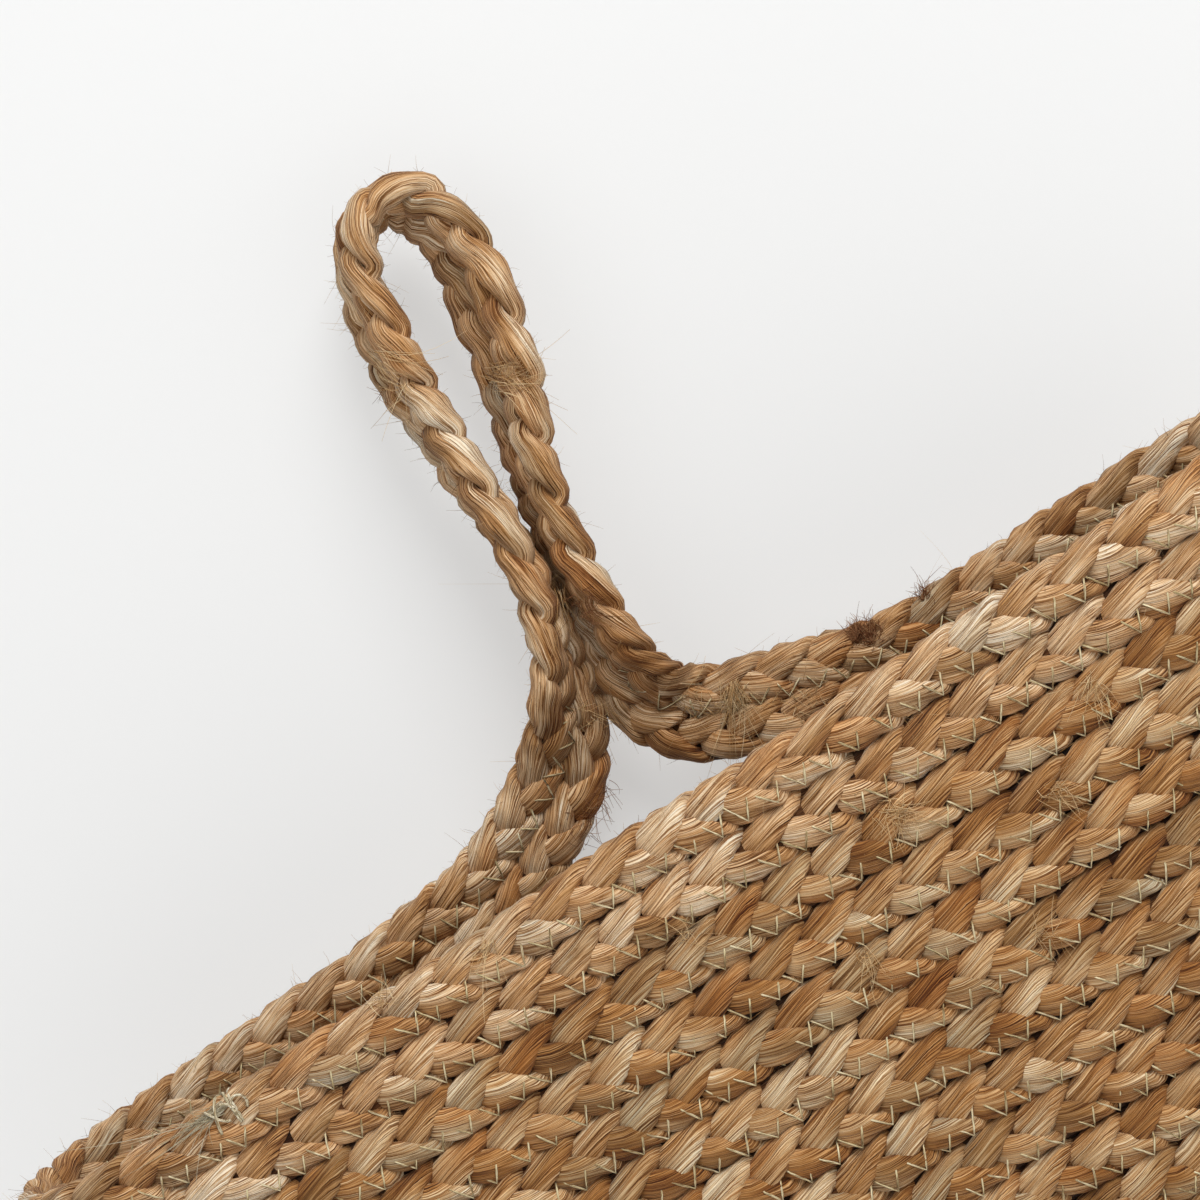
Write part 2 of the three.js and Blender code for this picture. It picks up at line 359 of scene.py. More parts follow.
@dataclass
class Relief:
    """How far a braid's face stands out, on a grid of distance along and offset across."""

    height: Array
    length: float
    low: float
    cell_along: float
    cell_across: float

    @staticmethod
    def denser(field: Array) -> Array:
        """Put two points between neighbouring rings and one between neighbouring sides, evenly.

        Args:
            field: one coordinate of the strands' points, over strand, ring and side.

        Returns:
            The denser field, with two axes more.
        """
        ring = np.roll(field, -1, axis=1)
        ring[:, -1] = 2.0 * field[:, -1] - field[:, -2]
        field = np.stack([field, (2.0 * field + ring) / 3.0, (field + 2.0 * ring) / 3.0], axis=2)
        return np.stack([field, 0.5 * (field + np.roll(field, -1, axis=-1))], axis=-1)

    @staticmethod
    def measure(lay: Lay, face: Face, cell: float = 0.7 * MM) -> "Relief":
        """Take the highest point of the strands in each cell, and fill cells that hold none.

        Args:
            lay: the braid.
            face: the face to measure.
            cell: a cell's size.

        Returns:
            The height field, in metres from the braid's middle plane.
        """
        along, across, through = map(Relief.denser, (lay.along, lay.across, lay.through))
        cells_along = max(8, int(lay.length / cell))
        low = float(lay.across.min())
        cells_across = int((lay.across.max() - low) / cell) + 2
        column = (np.mod(along, lay.length) / lay.length * cells_along).astype(int) % cells_along
        row = ((across - low) / cell).astype(int)
        height = np.zeros((cells_along, cells_across))
        np.maximum.at(height, (column.ravel(), row.ravel()), face.value * through.ravel())
        for axis in (0, 1):
            beside = np.maximum(np.roll(height, 1, axis), np.roll(height, -1, axis))
            height = np.where(height > 0.0, height, beside)
        return Relief(height, lay.length, low, lay.length / cells_along, cell)

    def at(self, along: Array, across: Array) -> Array:
        """Read the height between the cells' middles, evenly in both directions.

        Args:
            along: distances along the braid.
            across: offsets over its width.

        Returns:
            The face's height at each point.
        """
        rows, columns = self.height.shape
        u = np.mod(along / self.cell_along - 0.5, rows)
        v = np.clip((across - self.low) / self.cell_across - 0.5, 0.0, columns - 1.001)
        u0, v0 = np.floor(u).astype(int) % rows, np.floor(v).astype(int)
        u1, v1 = (u0 + 1) % rows, v0 + 1
        fu, fv = u - np.floor(u), v - v0
        near = self.height[u0, v0] * (1.0 - fv) + self.height[u0, v1] * fv
        far = self.height[u1, v0] * (1.0 - fv) + self.height[u1, v1] * fv
        return near * (1.0 - fu) + far * fu


def lay_braid(shape: BraidShape, route: Route, rng: np.random.Generator) -> Lay:
    """Work out a closed braid's strands in its own straight space.

    A strand's middle goes from edge to edge as the sine of its phase and from face to face as the sine
    of twice its phase, so it lies on the outer face while it moves inwards from either edge. A little of
    the sine of four times the phase makes it cross the middle steeply and the edge slowly. Where the
    braid hangs free, more of that sine and some of the sine of six times the phase make it cross the
    edge in one straight slant, and its outermost point droops towards the lower end of the slant. The
    three strands are a third of a period apart.

    A strand's section is a flat oval, a superellipse, whose flat side turns from one face over the edge
    to the other as the phase's cosine changes sign. Its points keep their angle to the braid while the
    oval turns, so that the fibres run along the strand and don't wind round it. The oval is fuller
    towards the braid's middle, and shallow ridges part it into bundles.

    Args:
        shape: the braid's sizes.
        route: where it will lie.
        rng: the source of the hand's unevenness.

    Returns:
        The strands' points.
    """
    length = route.length()
    hand = shape.hand
    rings = max(1, round(length / shape.period)) * shape.rings_per_period
    ring = np.arange(rings) * (length / rings)
    hang = route.slack_at(ring)
    slack = np.abs(hang)
    strand_number = np.arange(shape.strands)[:, None]
    pace = 1.0 + shape.slack_pace * slack
    turned = np.concatenate([[0.0], np.cumsum(pace)[:-1]]) / np.sum(pace)
    periods = max(1, round(length / shape.period * float(pace.mean())))
    jitter = Wander(length, *hand.pace).curve(rng, ring) + rng.uniform(0.0, TURN)
    phase = TURN * (turned * periods + strand_number / shape.strands) + jitter
    uneven = Wander(length, *hand.strand)
    reach, lift, broad, thick = (
        1.0 + spread * np.stack([uneven.curve(rng, ring) for _ in range(shape.strands)])
        for spread in hand.strand_spreads
    )
    sway = Wander(length, *hand.sway).curve(rng, ring)
    bulge = Wander(length, *hand.bulge).curve(rng, ring)
    sine, cosine = np.sin(phase), np.cos(phase)

    across = shape.edge_reach * reach * np.sin(phase - shape.slack_droop * hang) + sway
    second, third = shape.slack_slant
    double, fourfold, sixfold = np.sin(2.0 * phase), np.sin(4.0 * phase), np.sin(6.0 * phase)
    tight = (double + shape.crossing * fourfold) / (1.0 + shape.crossing_peak * shape.crossing)
    loose = (double + second * fourfold + third * sixfold) / shape.slack_peak
    weave = (1.0 - slack) * tight + slack * (1.0 + shape.slack_reach) * loose
    through = shape.face_reach * lift * weave + bulge
    middle = np.stack([np.broadcast_to(ring, across.shape), across, through], axis=-1)
    ahead = np.roll(middle, -1, axis=1)
    behind = np.roll(middle, 1, axis=1)
    ahead[:, -1, 0] += length
    behind[:, 0, 0] -= length
    tangent = unit(ahead - behind)
    side = np.array([0.0, 1.0, 0.0]) - tangent[..., 1:2] * tangent
    side = unit(side)
    depth = np.cross(tangent, side)

    lean = 0.5 * math.pi * np.tanh(-shape.turn_sharpness * cosine) / math.tanh(shape.turn_sharpness)
    half_width = broad * (
        shape.half_width + shape.half_width_middle * cosine ** 4 + shape.half_width_edge * sine ** 4
    )
    half_thickness = thick * (1.0 + shape.slack_thickness * slack) * (
        shape.half_thickness + shape.half_thickness_edge * sine ** 4
    )
    angle = TURN * np.arange(shape.sides) / shape.sides
    turn = angle - (0.5 * math.pi - lean)[..., None]
    power = shape.corner_power
    radius = (
        np.abs(np.cos(turn) / half_width[..., None]) ** power
        + np.abs(np.sin(turn) / half_thickness[..., None]) ** power
    ) ** (-1.0 / power)
    radius *= 1.0 - 2.0 * shape.egg * (sine * np.abs(cosine))[..., None] * np.cos(angle)

    ridges = np.zeros((shape.strands, rings, shape.sides))
    slides = Wander(length, *hand.ridge_slide)
    for count in shape.ridge_counts:
        slide = np.stack([slides.curve(rng, ring) for _ in range(shape.strands)])
        ridges += np.cos(count * angle + slide[..., None] + rng.uniform(0.0, TURN, (shape.strands, 1, 1)))
    radius *= 1.0 + shape.ridge_share * ridges

    points = (
        middle[:, :, None, :]
        + (radius * np.cos(angle))[..., None] * side[:, :, None, :]
        + (radius * np.sin(angle))[..., None] * depth[:, :, None, :]
    )
    return Lay(points[..., 0], points[..., 1], points[..., 2], length)


@dataclass
class Skin:
    """A mesh in the making: points, faces with three or four corners, and a UV pair for each corner."""

    points: Array
    faces: list[Array]
    uvs: list[Array]

    def piece(self, name: str, material: bpy.types.Material) -> bpy.types.Object:
        """Put the arrays into a smooth mesh object at the origin.

        Args:
            name: the object's name.
            material: its finish.

        Returns:
            The linked object.
        """
        mesh = bpy.data.meshes.new(name)
        corner_counts = np.concatenate([np.full(len(f), f.shape[1]) for f in self.faces])
        corners = np.concatenate([f.ravel() for f in self.faces]).astype(np.int32)
        starts = np.concatenate([[0], np.cumsum(corner_counts)[:-1]]).astype(np.int32)
        mesh.vertices.add(len(self.points))
        mesh.vertices.foreach_set("co", self.points.astype(np.float32).ravel())
        mesh.loops.add(len(corners))
        mesh.loops.foreach_set("vertex_index", corners)
        mesh.polygons.add(len(starts))
        mesh.polygons.foreach_set("loop_start", starts)
        mesh.polygons.foreach_set("use_smooth", np.ones(len(starts), dtype=bool))
        layer = mesh.uv_layers.new(name="fibre")
        uv = np.concatenate([u.reshape(-1, 2) for u in self.uvs]).astype(np.float32)
        layer.uv.foreach_set("vector", uv.ravel())
        mesh.update(calc_edges=True)
        mesh.validate()
        mesh.materials.append(material)
        made = bpy.data.objects.new(name, mesh)
        bpy.context.scene.collection.objects.link(made)
        return made


def tube_skin(points: Array, along: Array, lanes: Array, closed: bool) -> Skin:
    """Skin a batch of tubes.

    Args:
        points: tubes by rings by sides by three.
        along: the distance along its tube of each ring, tubes by rings.
        lanes: where each tube's lane of the UV map starts, one for each tube.
        closed: whether the last ring meets the first.

    Returns:
        The skin, with the share round the tube as U and the distance as V.
    """
    tubes, rings, sides, _ = points.shape
    index = np.arange(tubes * rings * sides).reshape(tubes, rings, sides)
    spans = rings if closed else rings - 1
    here = index[:, :spans]
    ahead = np.roll(index, -1, axis=1)[:, :spans]
    quads = np.stack([here, ahead, np.roll(ahead, -1, 2), np.roll(here, -1, 2)], axis=-1)

    u_here = lanes[:, None, None] + np.broadcast_to(np.arange(sides) / sides, (tubes, spans, sides))
    u_next = u_here + 1.0 / sides
    step = along[:, 1:2] - along[:, 0:1]
    v_all = np.concatenate([along, along[:, -1:] + step], axis=1)
    v_here = np.broadcast_to(v_all[:, :spans, None], (tubes, spans, sides))
    v_ahead = np.broadcast_to(v_all[:, 1:spans + 1, None], (tubes, spans, sides))
    uv = np.stack(
        [np.stack([u_here, v_here], -1), np.stack([u_here, v_ahead], -1),
         np.stack([u_next, v_ahead], -1), np.stack([u_next, v_here], -1)],
        axis=-2,
    )
    faces, uvs = [quads.reshape(-1, 4)], [uv.reshape(-1, 4, 2)]
    if not closed:
        for ring, order in ((0, 1), (-1, -1)):
            cap = index[:, ring, ::order]
            faces.append(cap.reshape(tubes, sides))
            start = [np.broadcast_to(corner, cap.shape) for corner in (lanes[:, None], v_all[:, :1])]
            uvs.append(np.stack(start, axis=-1))
    return Skin(points.reshape(-1, 3), faces, uvs)


def round_tubes(middle: Array, radius: Array, sides: int) -> Array:
    """Carry a round section along many middle lines at once.

    At each point the section lies square to the line. Its first direction is square to the frame's Z
    axis too, or to the X axis where the line runs mostly up.

    Args:
        middle: lines by points by three.
        radius: lines by points.
        sides: how many sides the section has.

    Returns:
        Lines by points by sides by three.
    """
    tangent = unit(np.gradient(middle, axis=1))
    mostly_up = np.abs(tangent[..., 2:3].mean(axis=1, keepdims=True)) > STEEP
    helper = np.where(mostly_up, [1.0, 0.0, 0.0], [0.0, 0.0, 1.0])
    first = unit(np.cross(tangent, np.broadcast_to(helper, tangent.shape)))
    second = np.cross(tangent, first)
    angle = -TURN * np.arange(sides) / sides
    ring = first[:, :, None] * np.cos(angle)[:, None] + second[:, :, None] * np.sin(angle)[:, None]
    return middle[:, :, None] + radius[:, :, None, None] * ring


def oval_tube(route: Route, along: Array, half_width: float | Array, half_thickness: float,
              sides: int = 8) -> Array:
    """Carry a plain oval section along a braid's route, flattened where it rests on the floor.

    Args:
        route: the braid's route.
        along: the distances of the rings.
        half_width: half the section's width, one number or one for each ring.
        half_thickness: half its thickness.
        sides: how many sides it has.

    Returns:
        Rings by sides by three.
    """
    angle = TURN * np.arange(sides) / sides
    across = np.broadcast_to(half_width, along.shape)[:, None] * np.cos(angle)
    through = np.broadcast_to(half_thickness * np.sin(angle), across.shape)
    points = route.carry(np.broadcast_to(along[:, None], across.shape), across, through)
    points[..., 2] = np.maximum(points[..., 2], 0.0)
    return points


@dataclass(frozen=True)
class FibreFinish:
    """The finish of a bundle of plant fibres: its colours and how its streaks run."""

    name: str
    colours: tuple[str, ...]
    stops: tuple[float, ...]
    fibres_round: float
    streaks_per_metre: float
    tints_per_metre: float
    weathering: float
    relief: float
    roughness: float
    sheen: float
    specular: float = 0.12
    bump_strength: float = 0.9
    sheen_roughness: float = 0.45

    def material(self, streaks: bpy.types.NodeTree) -> bpy.types.Material:
        """Build the material: streaks along the piece's own UV map, tinted slowly along each strand.

        Args:
            streaks: the shared node group of fibre streaks.

        Returns:
            The material.
        """
        made = bpy.data.materials.new(self.name)
        made.use_nodes = True
        nodes, links = made.node_tree.nodes, made.node_tree.links
        shader = nodes["Principled BSDF"]
        uv = nodes.new("ShaderNodeUVMap")
        uv.uv_map = "fibre"
        group = nodes.new("ShaderNodeGroup")
        group.node_tree = streaks
        group.inputs["Fibres round"].default_value = self.fibres_round
        group.inputs["Streaks per metre"].default_value = self.streaks_per_metre
        group.inputs["Tints per metre"].default_value = self.tints_per_metre
        group.inputs["Weathering"].default_value = self.weathering
        links.new(uv.outputs["UV"], group.inputs["UV"])
        ramp = nodes.new("ShaderNodeValToRGB")
        ramp.color_ramp.elements.remove(ramp.color_ramp.elements[1])
        ramp.color_ramp.elements[0].position = self.stops[0]
        ramp.color_ramp.elements[0].color = linear(self.colours[0])
        for stop, colour in zip(self.stops[1:], self.colours[1:]):
            element = ramp.color_ramp.elements.new(stop)
            element.color = linear(colour)
        links.new(group.outputs["Tint"], ramp.inputs["Fac"])
        # Multiply the colour by the group's Shade: painted shade in the fibre gaps and partings, and the
        # weathering cast.
        shade = nodes.new("ShaderNodeMix")
        shade.data_type = "RGBA"
        shade.blend_type = "MULTIPLY"
        shade.inputs["Factor"].default_value = 1.0
        links.new(ramp.outputs["Color"], shade.inputs["A"])
        links.new(group.outputs["Shade"], shade.inputs["B"])
        links.new(shade.outputs["Result"], shader.inputs["Base Color"])
        bump = nodes.new("ShaderNodeBump")
        bump.inputs["Strength"].default_value = self.bump_strength
        bump.inputs["Distance"].default_value = self.relief
        links.new(group.outputs["Height"], bump.inputs["Height"])
        links.new(bump.outputs["Normal"], shader.inputs["Normal"])
        shader.inputs["Roughness"].default_value = self.roughness
        shader.inputs["Sheen Weight"].default_value = self.sheen
        shader.inputs["Sheen Roughness"].default_value = self.sheen_roughness
        shader.inputs["Specular IOR Level"].default_value = self.specular
        return made


JUTE = FibreFinish(
    name="jute_strand",
    colours=("#4a270d", "#835026", "#ad783f", "#c79661", "#dfbc8d", "#f5e5c5"),
    stops=(0.0, 0.24, 0.42, 0.56, 0.72, 0.92),
    fibres_round=100.0,
    streaks_per_metre=62.0,
    tints_per_metre=22.0,
    weathering=1.0,
    relief=0.4 * MM,
    roughness=0.6,
    sheen=0.06,
)
# Paler copy of the jute for the rim and loop braids: painted light, drawing the top rim and the loop brighter
# as if lit more strongly from above.
LIT_JUTE = replace(
    JUTE, name="jute_strand_painted_light", fibres_round=84.0, streaks_per_metre=80.0,
    colours=("#51301a", "#946339", "#c08f59", "#d8ac7d", "#ebcca3", "#f9ecd4"),
)
# Near-black copy of the jute for the braids' cores and the seam fillings: painted shade, so that the crevices
# and seams between strands read dark.
SHADED_CORE_JUTE = replace(
    JUTE, name="jute_core_painted_shade",
    colours=("#1c0e05", "#341d0d", "#4a2c15", "#5c3a1f", "#6e4a2b", "#83603c"),
)
THREAD = FibreFinish(
    name="straw_thread",
    colours=("#ab9a6e", "#cbbb90", "#e2d6b2"),
    stops=(0.2, 0.5, 0.8),
    fibres_round=6.0,
    streaks_per_metre=500.0,
    tints_per_metre=60.0,
    weathering=0.0,
    relief=0.08 * MM,
    roughness=0.6,
    sheen=0.1,
)
YARN = replace(
    THREAD, name="cream_yarn", colours=("#a4966f", "#c8bc9a", "#e3dbc2"),
    fibres_round=10.0, streaks_per_metre=400.0, relief=0.1 * MM, roughness=0.7,
)
STRAY = FibreFinish(
    name="stray_fibre",
    colours=("#8d6639", "#b98f5d", "#dcc59b"),
    stops=(0.3, 0.5, 0.7),
    fibres_round=2.0,
    streaks_per_metre=40.0,
    tints_per_metre=20.0,
    weathering=0.3,
    relief=0.02 * MM,
    roughness=0.6,
    sheen=0.0,
)
PALE = replace(STRAY, name="frayed_pale_fibre", colours=("#c8985c", "#e6bf86", "#fae4b8"), weathering=0.0)
FRAYED = replace(
    STRAY, name="frayed_dark_fibre", colours=("#623a25", "#905c3a", "#bd8f68"),
    stops=(0.3, 0.5, 0.72), roughness=0.65,
)


class StreakGroup:
    """The shared node group: streaks of fibres along a UV map, as masks, shades and a height.

    Three noises are stretched along the fibres: the finest, the bundles and a wave whose middle value
    marks the partings. Two slow ones tint and weather whole stretches of a strand. Each entry below
    says how many cells a noise has for each cell of the finest, or of the tints, round and along.
    """

    INPUTS = (
        ("Fibres round", 60.0), ("Streaks per metre", 70.0), ("Tints per metre", 20.0), ("Weathering", 1.0),
    )
    WHITE = (1.0, 1.0, 1.0)
    # The first two ramps are painted shade: they darken the gaps between fibres and the partings between
    # bundles, where shade falls. CAST turns some stretches rusty or grey.
    GAP_SHADE = ((0.31, (0.18, 0.10, 0.05)), (0.43, (0.66, 0.56, 0.45)), (0.52, WHITE))
    PARTING_SHADE = ((0.0, (0.22, 0.13, 0.07)), (0.015, (0.50, 0.39, 0.30)), (0.037, WHITE))
    CAST = ((0.28, (0.89, 0.76, 0.62)), (0.39, WHITE), (0.58, WHITE), (0.69, (0.74, 0.76, 0.76)))
    FINE_DETAIL, FINE_ROUGHNESS = 4.0, 0.68
    BUNDLES_ROUND, BUNDLES_ALONG = 0.3, 0.5
    WAVE_ROUND, WAVE_ALONG = 0.52, 0.34
    TINTS_ROUND, TINT_DETAIL, TINT_ROUGHNESS = 1.4, 2.0, 0.55
    WEATHER_ROUND, WEATHER_ALONG = 1.1, 0.6
    TINT_SHARE, BUNDLE_SHARE, FINE_SHARE, TINT_OFFSET = 0.58, 0.18, 0.62, -0.69
    TINT_CONTRAST, TINT_MIDDLE = 1.9, 0.54
    FINE_HEIGHT, BUNDLE_HEIGHT = 1.0, 0.3
    PARTING_WIDTH, PARTING_DEPTH = 0.05, 6.0

    def __init__(self) -> None:
        """Make the empty group with its named sockets."""
        self.tree = bpy.data.node_groups.new("fibre_streaks", "ShaderNodeTree")
        face = self.tree.interface
        face.new_socket("UV", in_out="INPUT", socket_type="NodeSocketVector")
        for name, value in self.INPUTS:
            face.new_socket(name, in_out="INPUT", socket_type="NodeSocketFloat").default_value = value
        face.new_socket("Tint", in_out="OUTPUT", socket_type="NodeSocketFloat")
        face.new_socket("Shade", in_out="OUTPUT", socket_type="NodeSocketColor")
        face.new_socket("Height", in_out="OUTPUT", socket_type="NodeSocketFloat")
        self.source = self.tree.nodes.new("NodeGroupInput")
        self.sink = self.tree.nodes.new("NodeGroupOutput")
        parts = self.tree.nodes.new("ShaderNodeSeparateXYZ")
        self.tree.links.new(self.source.outputs["UV"], parts.inputs[0])
        self.round, self.along = parts.outputs["X"], parts.outputs["Y"]

    def maths(self, operation: str, first: Socket | float, second: Socket | float) -> Socket:
        """Join two sockets or numbers by a Math node.

        Args:
            operation: the Math node's operation.
            first: a socket or a number.
            second: a socket or a number.

        Returns:
            The result's socket.
        """
        node = self.tree.nodes.new("ShaderNodeMath")
        node.operation = operation
        for slot, value in enumerate((first, second)):
            if isinstance(value, Socket):
                self.tree.links.new(value, node.inputs[slot])
            else:
                node.inputs[slot].default_value = value
        return node.outputs[0]

    def noise(self, round_scale: Socket | float, along_scale: Socket | float, detail: float,
              roughness: float) -> Socket:
        """Draw noise whose cells are stretched along the fibres.

        Args:
            round_scale: cells for each turn round the strand, a socket or a number.
            along_scale: cells for each metre, a socket or a number.
            detail: the noise's octaves.
            roughness: how strong its finer octaves are.

        Returns:
            The noise's value, from 0 to 1.
        """
        joined = self.tree.nodes.new("ShaderNodeCombineXYZ")
        self.tree.links.new(self.maths("MULTIPLY", self.round, round_scale), joined.inputs["X"])
        self.tree.links.new(self.maths("MULTIPLY", self.along, along_scale), joined.inputs["Y"])
        node = self.tree.nodes.new("ShaderNodeTexNoise")
        node.noise_dimensions = "2D"
        node.inputs["Scale"].default_value = 1.0
        node.inputs["Detail"].default_value = detail
        node.inputs["Roughness"].default_value = roughness
        self.tree.links.new(joined.outputs[0], node.inputs["Vector"])
        return node.outputs["Fac"]

    def ramp(self, value: Socket, stops: Stops) -> Socket:
        """Turn a value into a colour.

        Args:
            value: the value's socket.
            stops: pairs of a position and a red, green and blue.

        Returns:
            The colour's socket.
        """
        node = self.tree.nodes.new("ShaderNodeValToRGB")
        node.color_ramp.elements.remove(node.color_ramp.elements[1])
        node.color_ramp.elements[0].position = stops[0][0]
        node.color_ramp.elements[0].color = (*stops[0][1], 1.0)
        for position, colour in stops[1:]:
            node.color_ramp.elements.new(position).color = (*colour, 1.0)
        self.tree.links.new(value, node.inputs["Fac"])
        return node.outputs["Color"]

    def mixed(self, blend: str, factor: Socket | float, first: Socket, second: Socket) -> Socket:
        """Mix two colours.

        Args:
            blend: the Mix node's blend type.
            factor: how much of the second, a socket or a number.
            first: the first colour's socket.
            second: the second colour's socket.

        Returns:
            The mixed colour's socket.
        """
        node = self.tree.nodes.new("ShaderNodeMix")
        node.data_type = "RGBA"
        node.blend_type = blend
        if isinstance(factor, Socket):
            self.tree.links.new(factor, node.inputs["Factor"])
        else:
            node.inputs["Factor"].default_value = factor
        self.tree.links.new(first, node.inputs["A"])
        self.tree.links.new(second, node.inputs["B"])
        return node.outputs["Result"]

    def build(self) -> bpy.types.NodeTree:
        """Wire the group.

        Returns:
            The node tree. Tint is a slow mix of strand, bundle and fibre noise for a colour ramp. Shade
            is painted shade in the gaps between fibres and in the thin partings between bundles, which run
            where a stretched noise passes its middle value, times a cast that turns some stretches rusty or
            grey. Height raises the fibres and sinks the partings.
        """
        fibres_round = self.source.outputs["Fibres round"]
        per_metre = self.source.outputs["Streaks per metre"]
        tints_per_metre = self.source.outputs["Tints per metre"]
        fine = self.noise(fibres_round, per_metre, self.FINE_DETAIL, self.FINE_ROUGHNESS)
        bundles = self.noise(self.maths("MULTIPLY", fibres_round, self.BUNDLES_ROUND),
                             self.maths("MULTIPLY", per_metre, self.BUNDLES_ALONG), 2.0, 0.5)
        wave = self.noise(self.maths("MULTIPLY", fibres_round, self.WAVE_ROUND),
                          self.maths("MULTIPLY", per_metre, self.WAVE_ALONG), 1.0, 0.5)
        parting = self.maths("ABSOLUTE", self.maths("SUBTRACT", wave, 0.5), 0.0)
        tint = self.noise(self.TINTS_ROUND, tints_per_metre, self.TINT_DETAIL, self.TINT_ROUGHNESS)
        mixed = self.maths("ADD", self.maths("MULTIPLY", tint, self.TINT_SHARE),
                           self.maths("MULTIPLY", bundles, self.BUNDLE_SHARE))
        mixed = self.maths("ADD", mixed, self.maths("MULTIPLY", fine, self.FINE_SHARE))
        mixed = self.maths("ADD", mixed, self.TINT_OFFSET)
        spread = self.maths("ADD", self.maths("MULTIPLY", mixed, self.TINT_CONTRAST), self.TINT_MIDDLE)
        self.tree.links.new(spread, self.sink.inputs["Tint"])

        weather_along = self.maths("MULTIPLY", tints_per_metre, self.WEATHER_ALONG)
        slow = self.noise(self.WEATHER_ROUND, weather_along, 1.0, 0.5)
        cast = self.ramp(slow, self.CAST)
        plain = self.ramp(slow, ((0.0, self.WHITE),))
        cast = self.mixed("MIX", self.source.outputs["Weathering"], plain, cast)
        # Painted shade in the gaps between fibres and the partings between bundles, times the weathering
        # cast.
        shade = self.mixed("MULTIPLY", 1.0, self.ramp(fine, self.GAP_SHADE), self.ramp(parting, self.PARTING_SHADE))
        shade = self.mixed("MULTIPLY", 1.0, shade, cast)
        self.tree.links.new(shade, self.sink.inputs["Shade"])
        height = self.maths("ADD", self.maths("MULTIPLY", fine, self.FINE_HEIGHT),
                            self.maths("MULTIPLY", bundles, self.BUNDLE_HEIGHT))
        sunk = self.maths("MULTIPLY", self.maths("MINIMUM", parting, self.PARTING_WIDTH), self.PARTING_DEPTH)
        self.tree.links.new(self.maths("ADD", height, sunk), self.sink.inputs["Height"])
        return self.tree


@dataclass
class Finishes:
    """The materials that the pieces share."""

    braid: bpy.types.Material
    # rim: the paler jute, painted light on the top rim and the loop.
    rim: bpy.types.Material
    thread: bpy.types.Material
    yarn: bpy.types.Material
    stray: bpy.types.Material
    pale: bpy.types.Material
    frayed: bpy.types.Material
    # heart: the near-black core finish, painted shade in the crevices and seams.
    heart: bpy.types.Material

    @staticmethod
    def make() -> "Finishes":
        """Build the node group once and each finish from it.

        Returns:
            The materials.
        """
        streaks = StreakGroup().build()
        kinds = (JUTE, LIT_JUTE, THREAD, YARN, STRAY, PALE, FRAYED, SHADED_CORE_JUTE)
        return Finishes(*(kind.material(streaks) for kind in kinds))


@dataclass(frozen=True)
class FrameSizes:
    """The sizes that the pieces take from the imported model."""

    outer_radius: float
    half_straight: float
    thickness: float
    width: float
    pitch: float
    turns: int
    base_turns: int
    rim: float

    @staticmethod
    def read() -> "FrameSizes":
        """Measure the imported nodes.

        Returns:
            The sizes.
        """
        low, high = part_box("wall_turn_01")
        next_low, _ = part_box("wall_turn_02")
        core_low, core_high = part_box("base_core")
        turns = sum(name.startswith("wall_turn_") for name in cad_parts)
        base_turns = sum(name.startswith("base_turn_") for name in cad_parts)
        pitch = next_low.z - low.z
        width = high.z - low.z
        return FrameSizes(
            outer_radius=high.y,
            half_straight=high.x - high.y,
            thickness=core_high.z - core_low.z,
            width=width,
            pitch=pitch,
            turns=turns,
            base_turns=base_turns,
            rim=(turns - 1) * pitch + width,
        )

    def middle_radius(self) -> float:
        """Give the radius of the wall's middle at its round ends."""
        return self.outer_radius - self.thickness / 2.0

    def wall_oval(self) -> Oval:
        """Give the plan of the wall's middle."""
        return Oval(self.half_straight, self.middle_radius())


def spline(stations: Array, per_span: int) -> Array:
    """Draw a smooth curve through stations as a natural cubic spline over their chord lengths.

    The second slopes at the stations solve one set of linear equations, which makes the slope run on
    unbroken through each of them, and are zero at both ends.

    Args:
        stations: one row for each station.
        per_span: points drawn for each span.

    Returns:
        The curve's rows, from the first station to the last.
    """
    chord = np.linalg.norm(np.diff(stations[:, :2], axis=0), axis=1)
    knots = np.concatenate([[0.0], np.cumsum(chord)])
    count = len(stations)
    system, wanted = np.eye(count), np.zeros_like(stations)
    inner = np.arange(1, count - 1)
    system[inner, inner - 1] = chord[:-1]
    system[inner, inner] = 2.0 * (chord[:-1] + chord[1:])
    system[inner, inner + 1] = chord[1:]
    slopes = np.diff(stations, axis=0) / chord[:, None]
    wanted[inner] = 6.0 * np.diff(slopes, axis=0)
    bend = np.linalg.solve(system, wanted)
    at = np.linspace(0.0, knots[-1], per_span * (count - 1) + 1)
    span = np.clip(np.searchsorted(knots, at, side="right") - 1, 0, count - 2)
    step = chord[span][:, None]
    right = (at - knots[span])[:, None] / step
    left = 1.0 - right
    return (
        left * stations[span] + right * stations[span + 1]
        + step ** 2 / 6.0 * ((left ** 3 - left) * bend[span] + (right ** 3 - right) * bend[span + 1])
    )


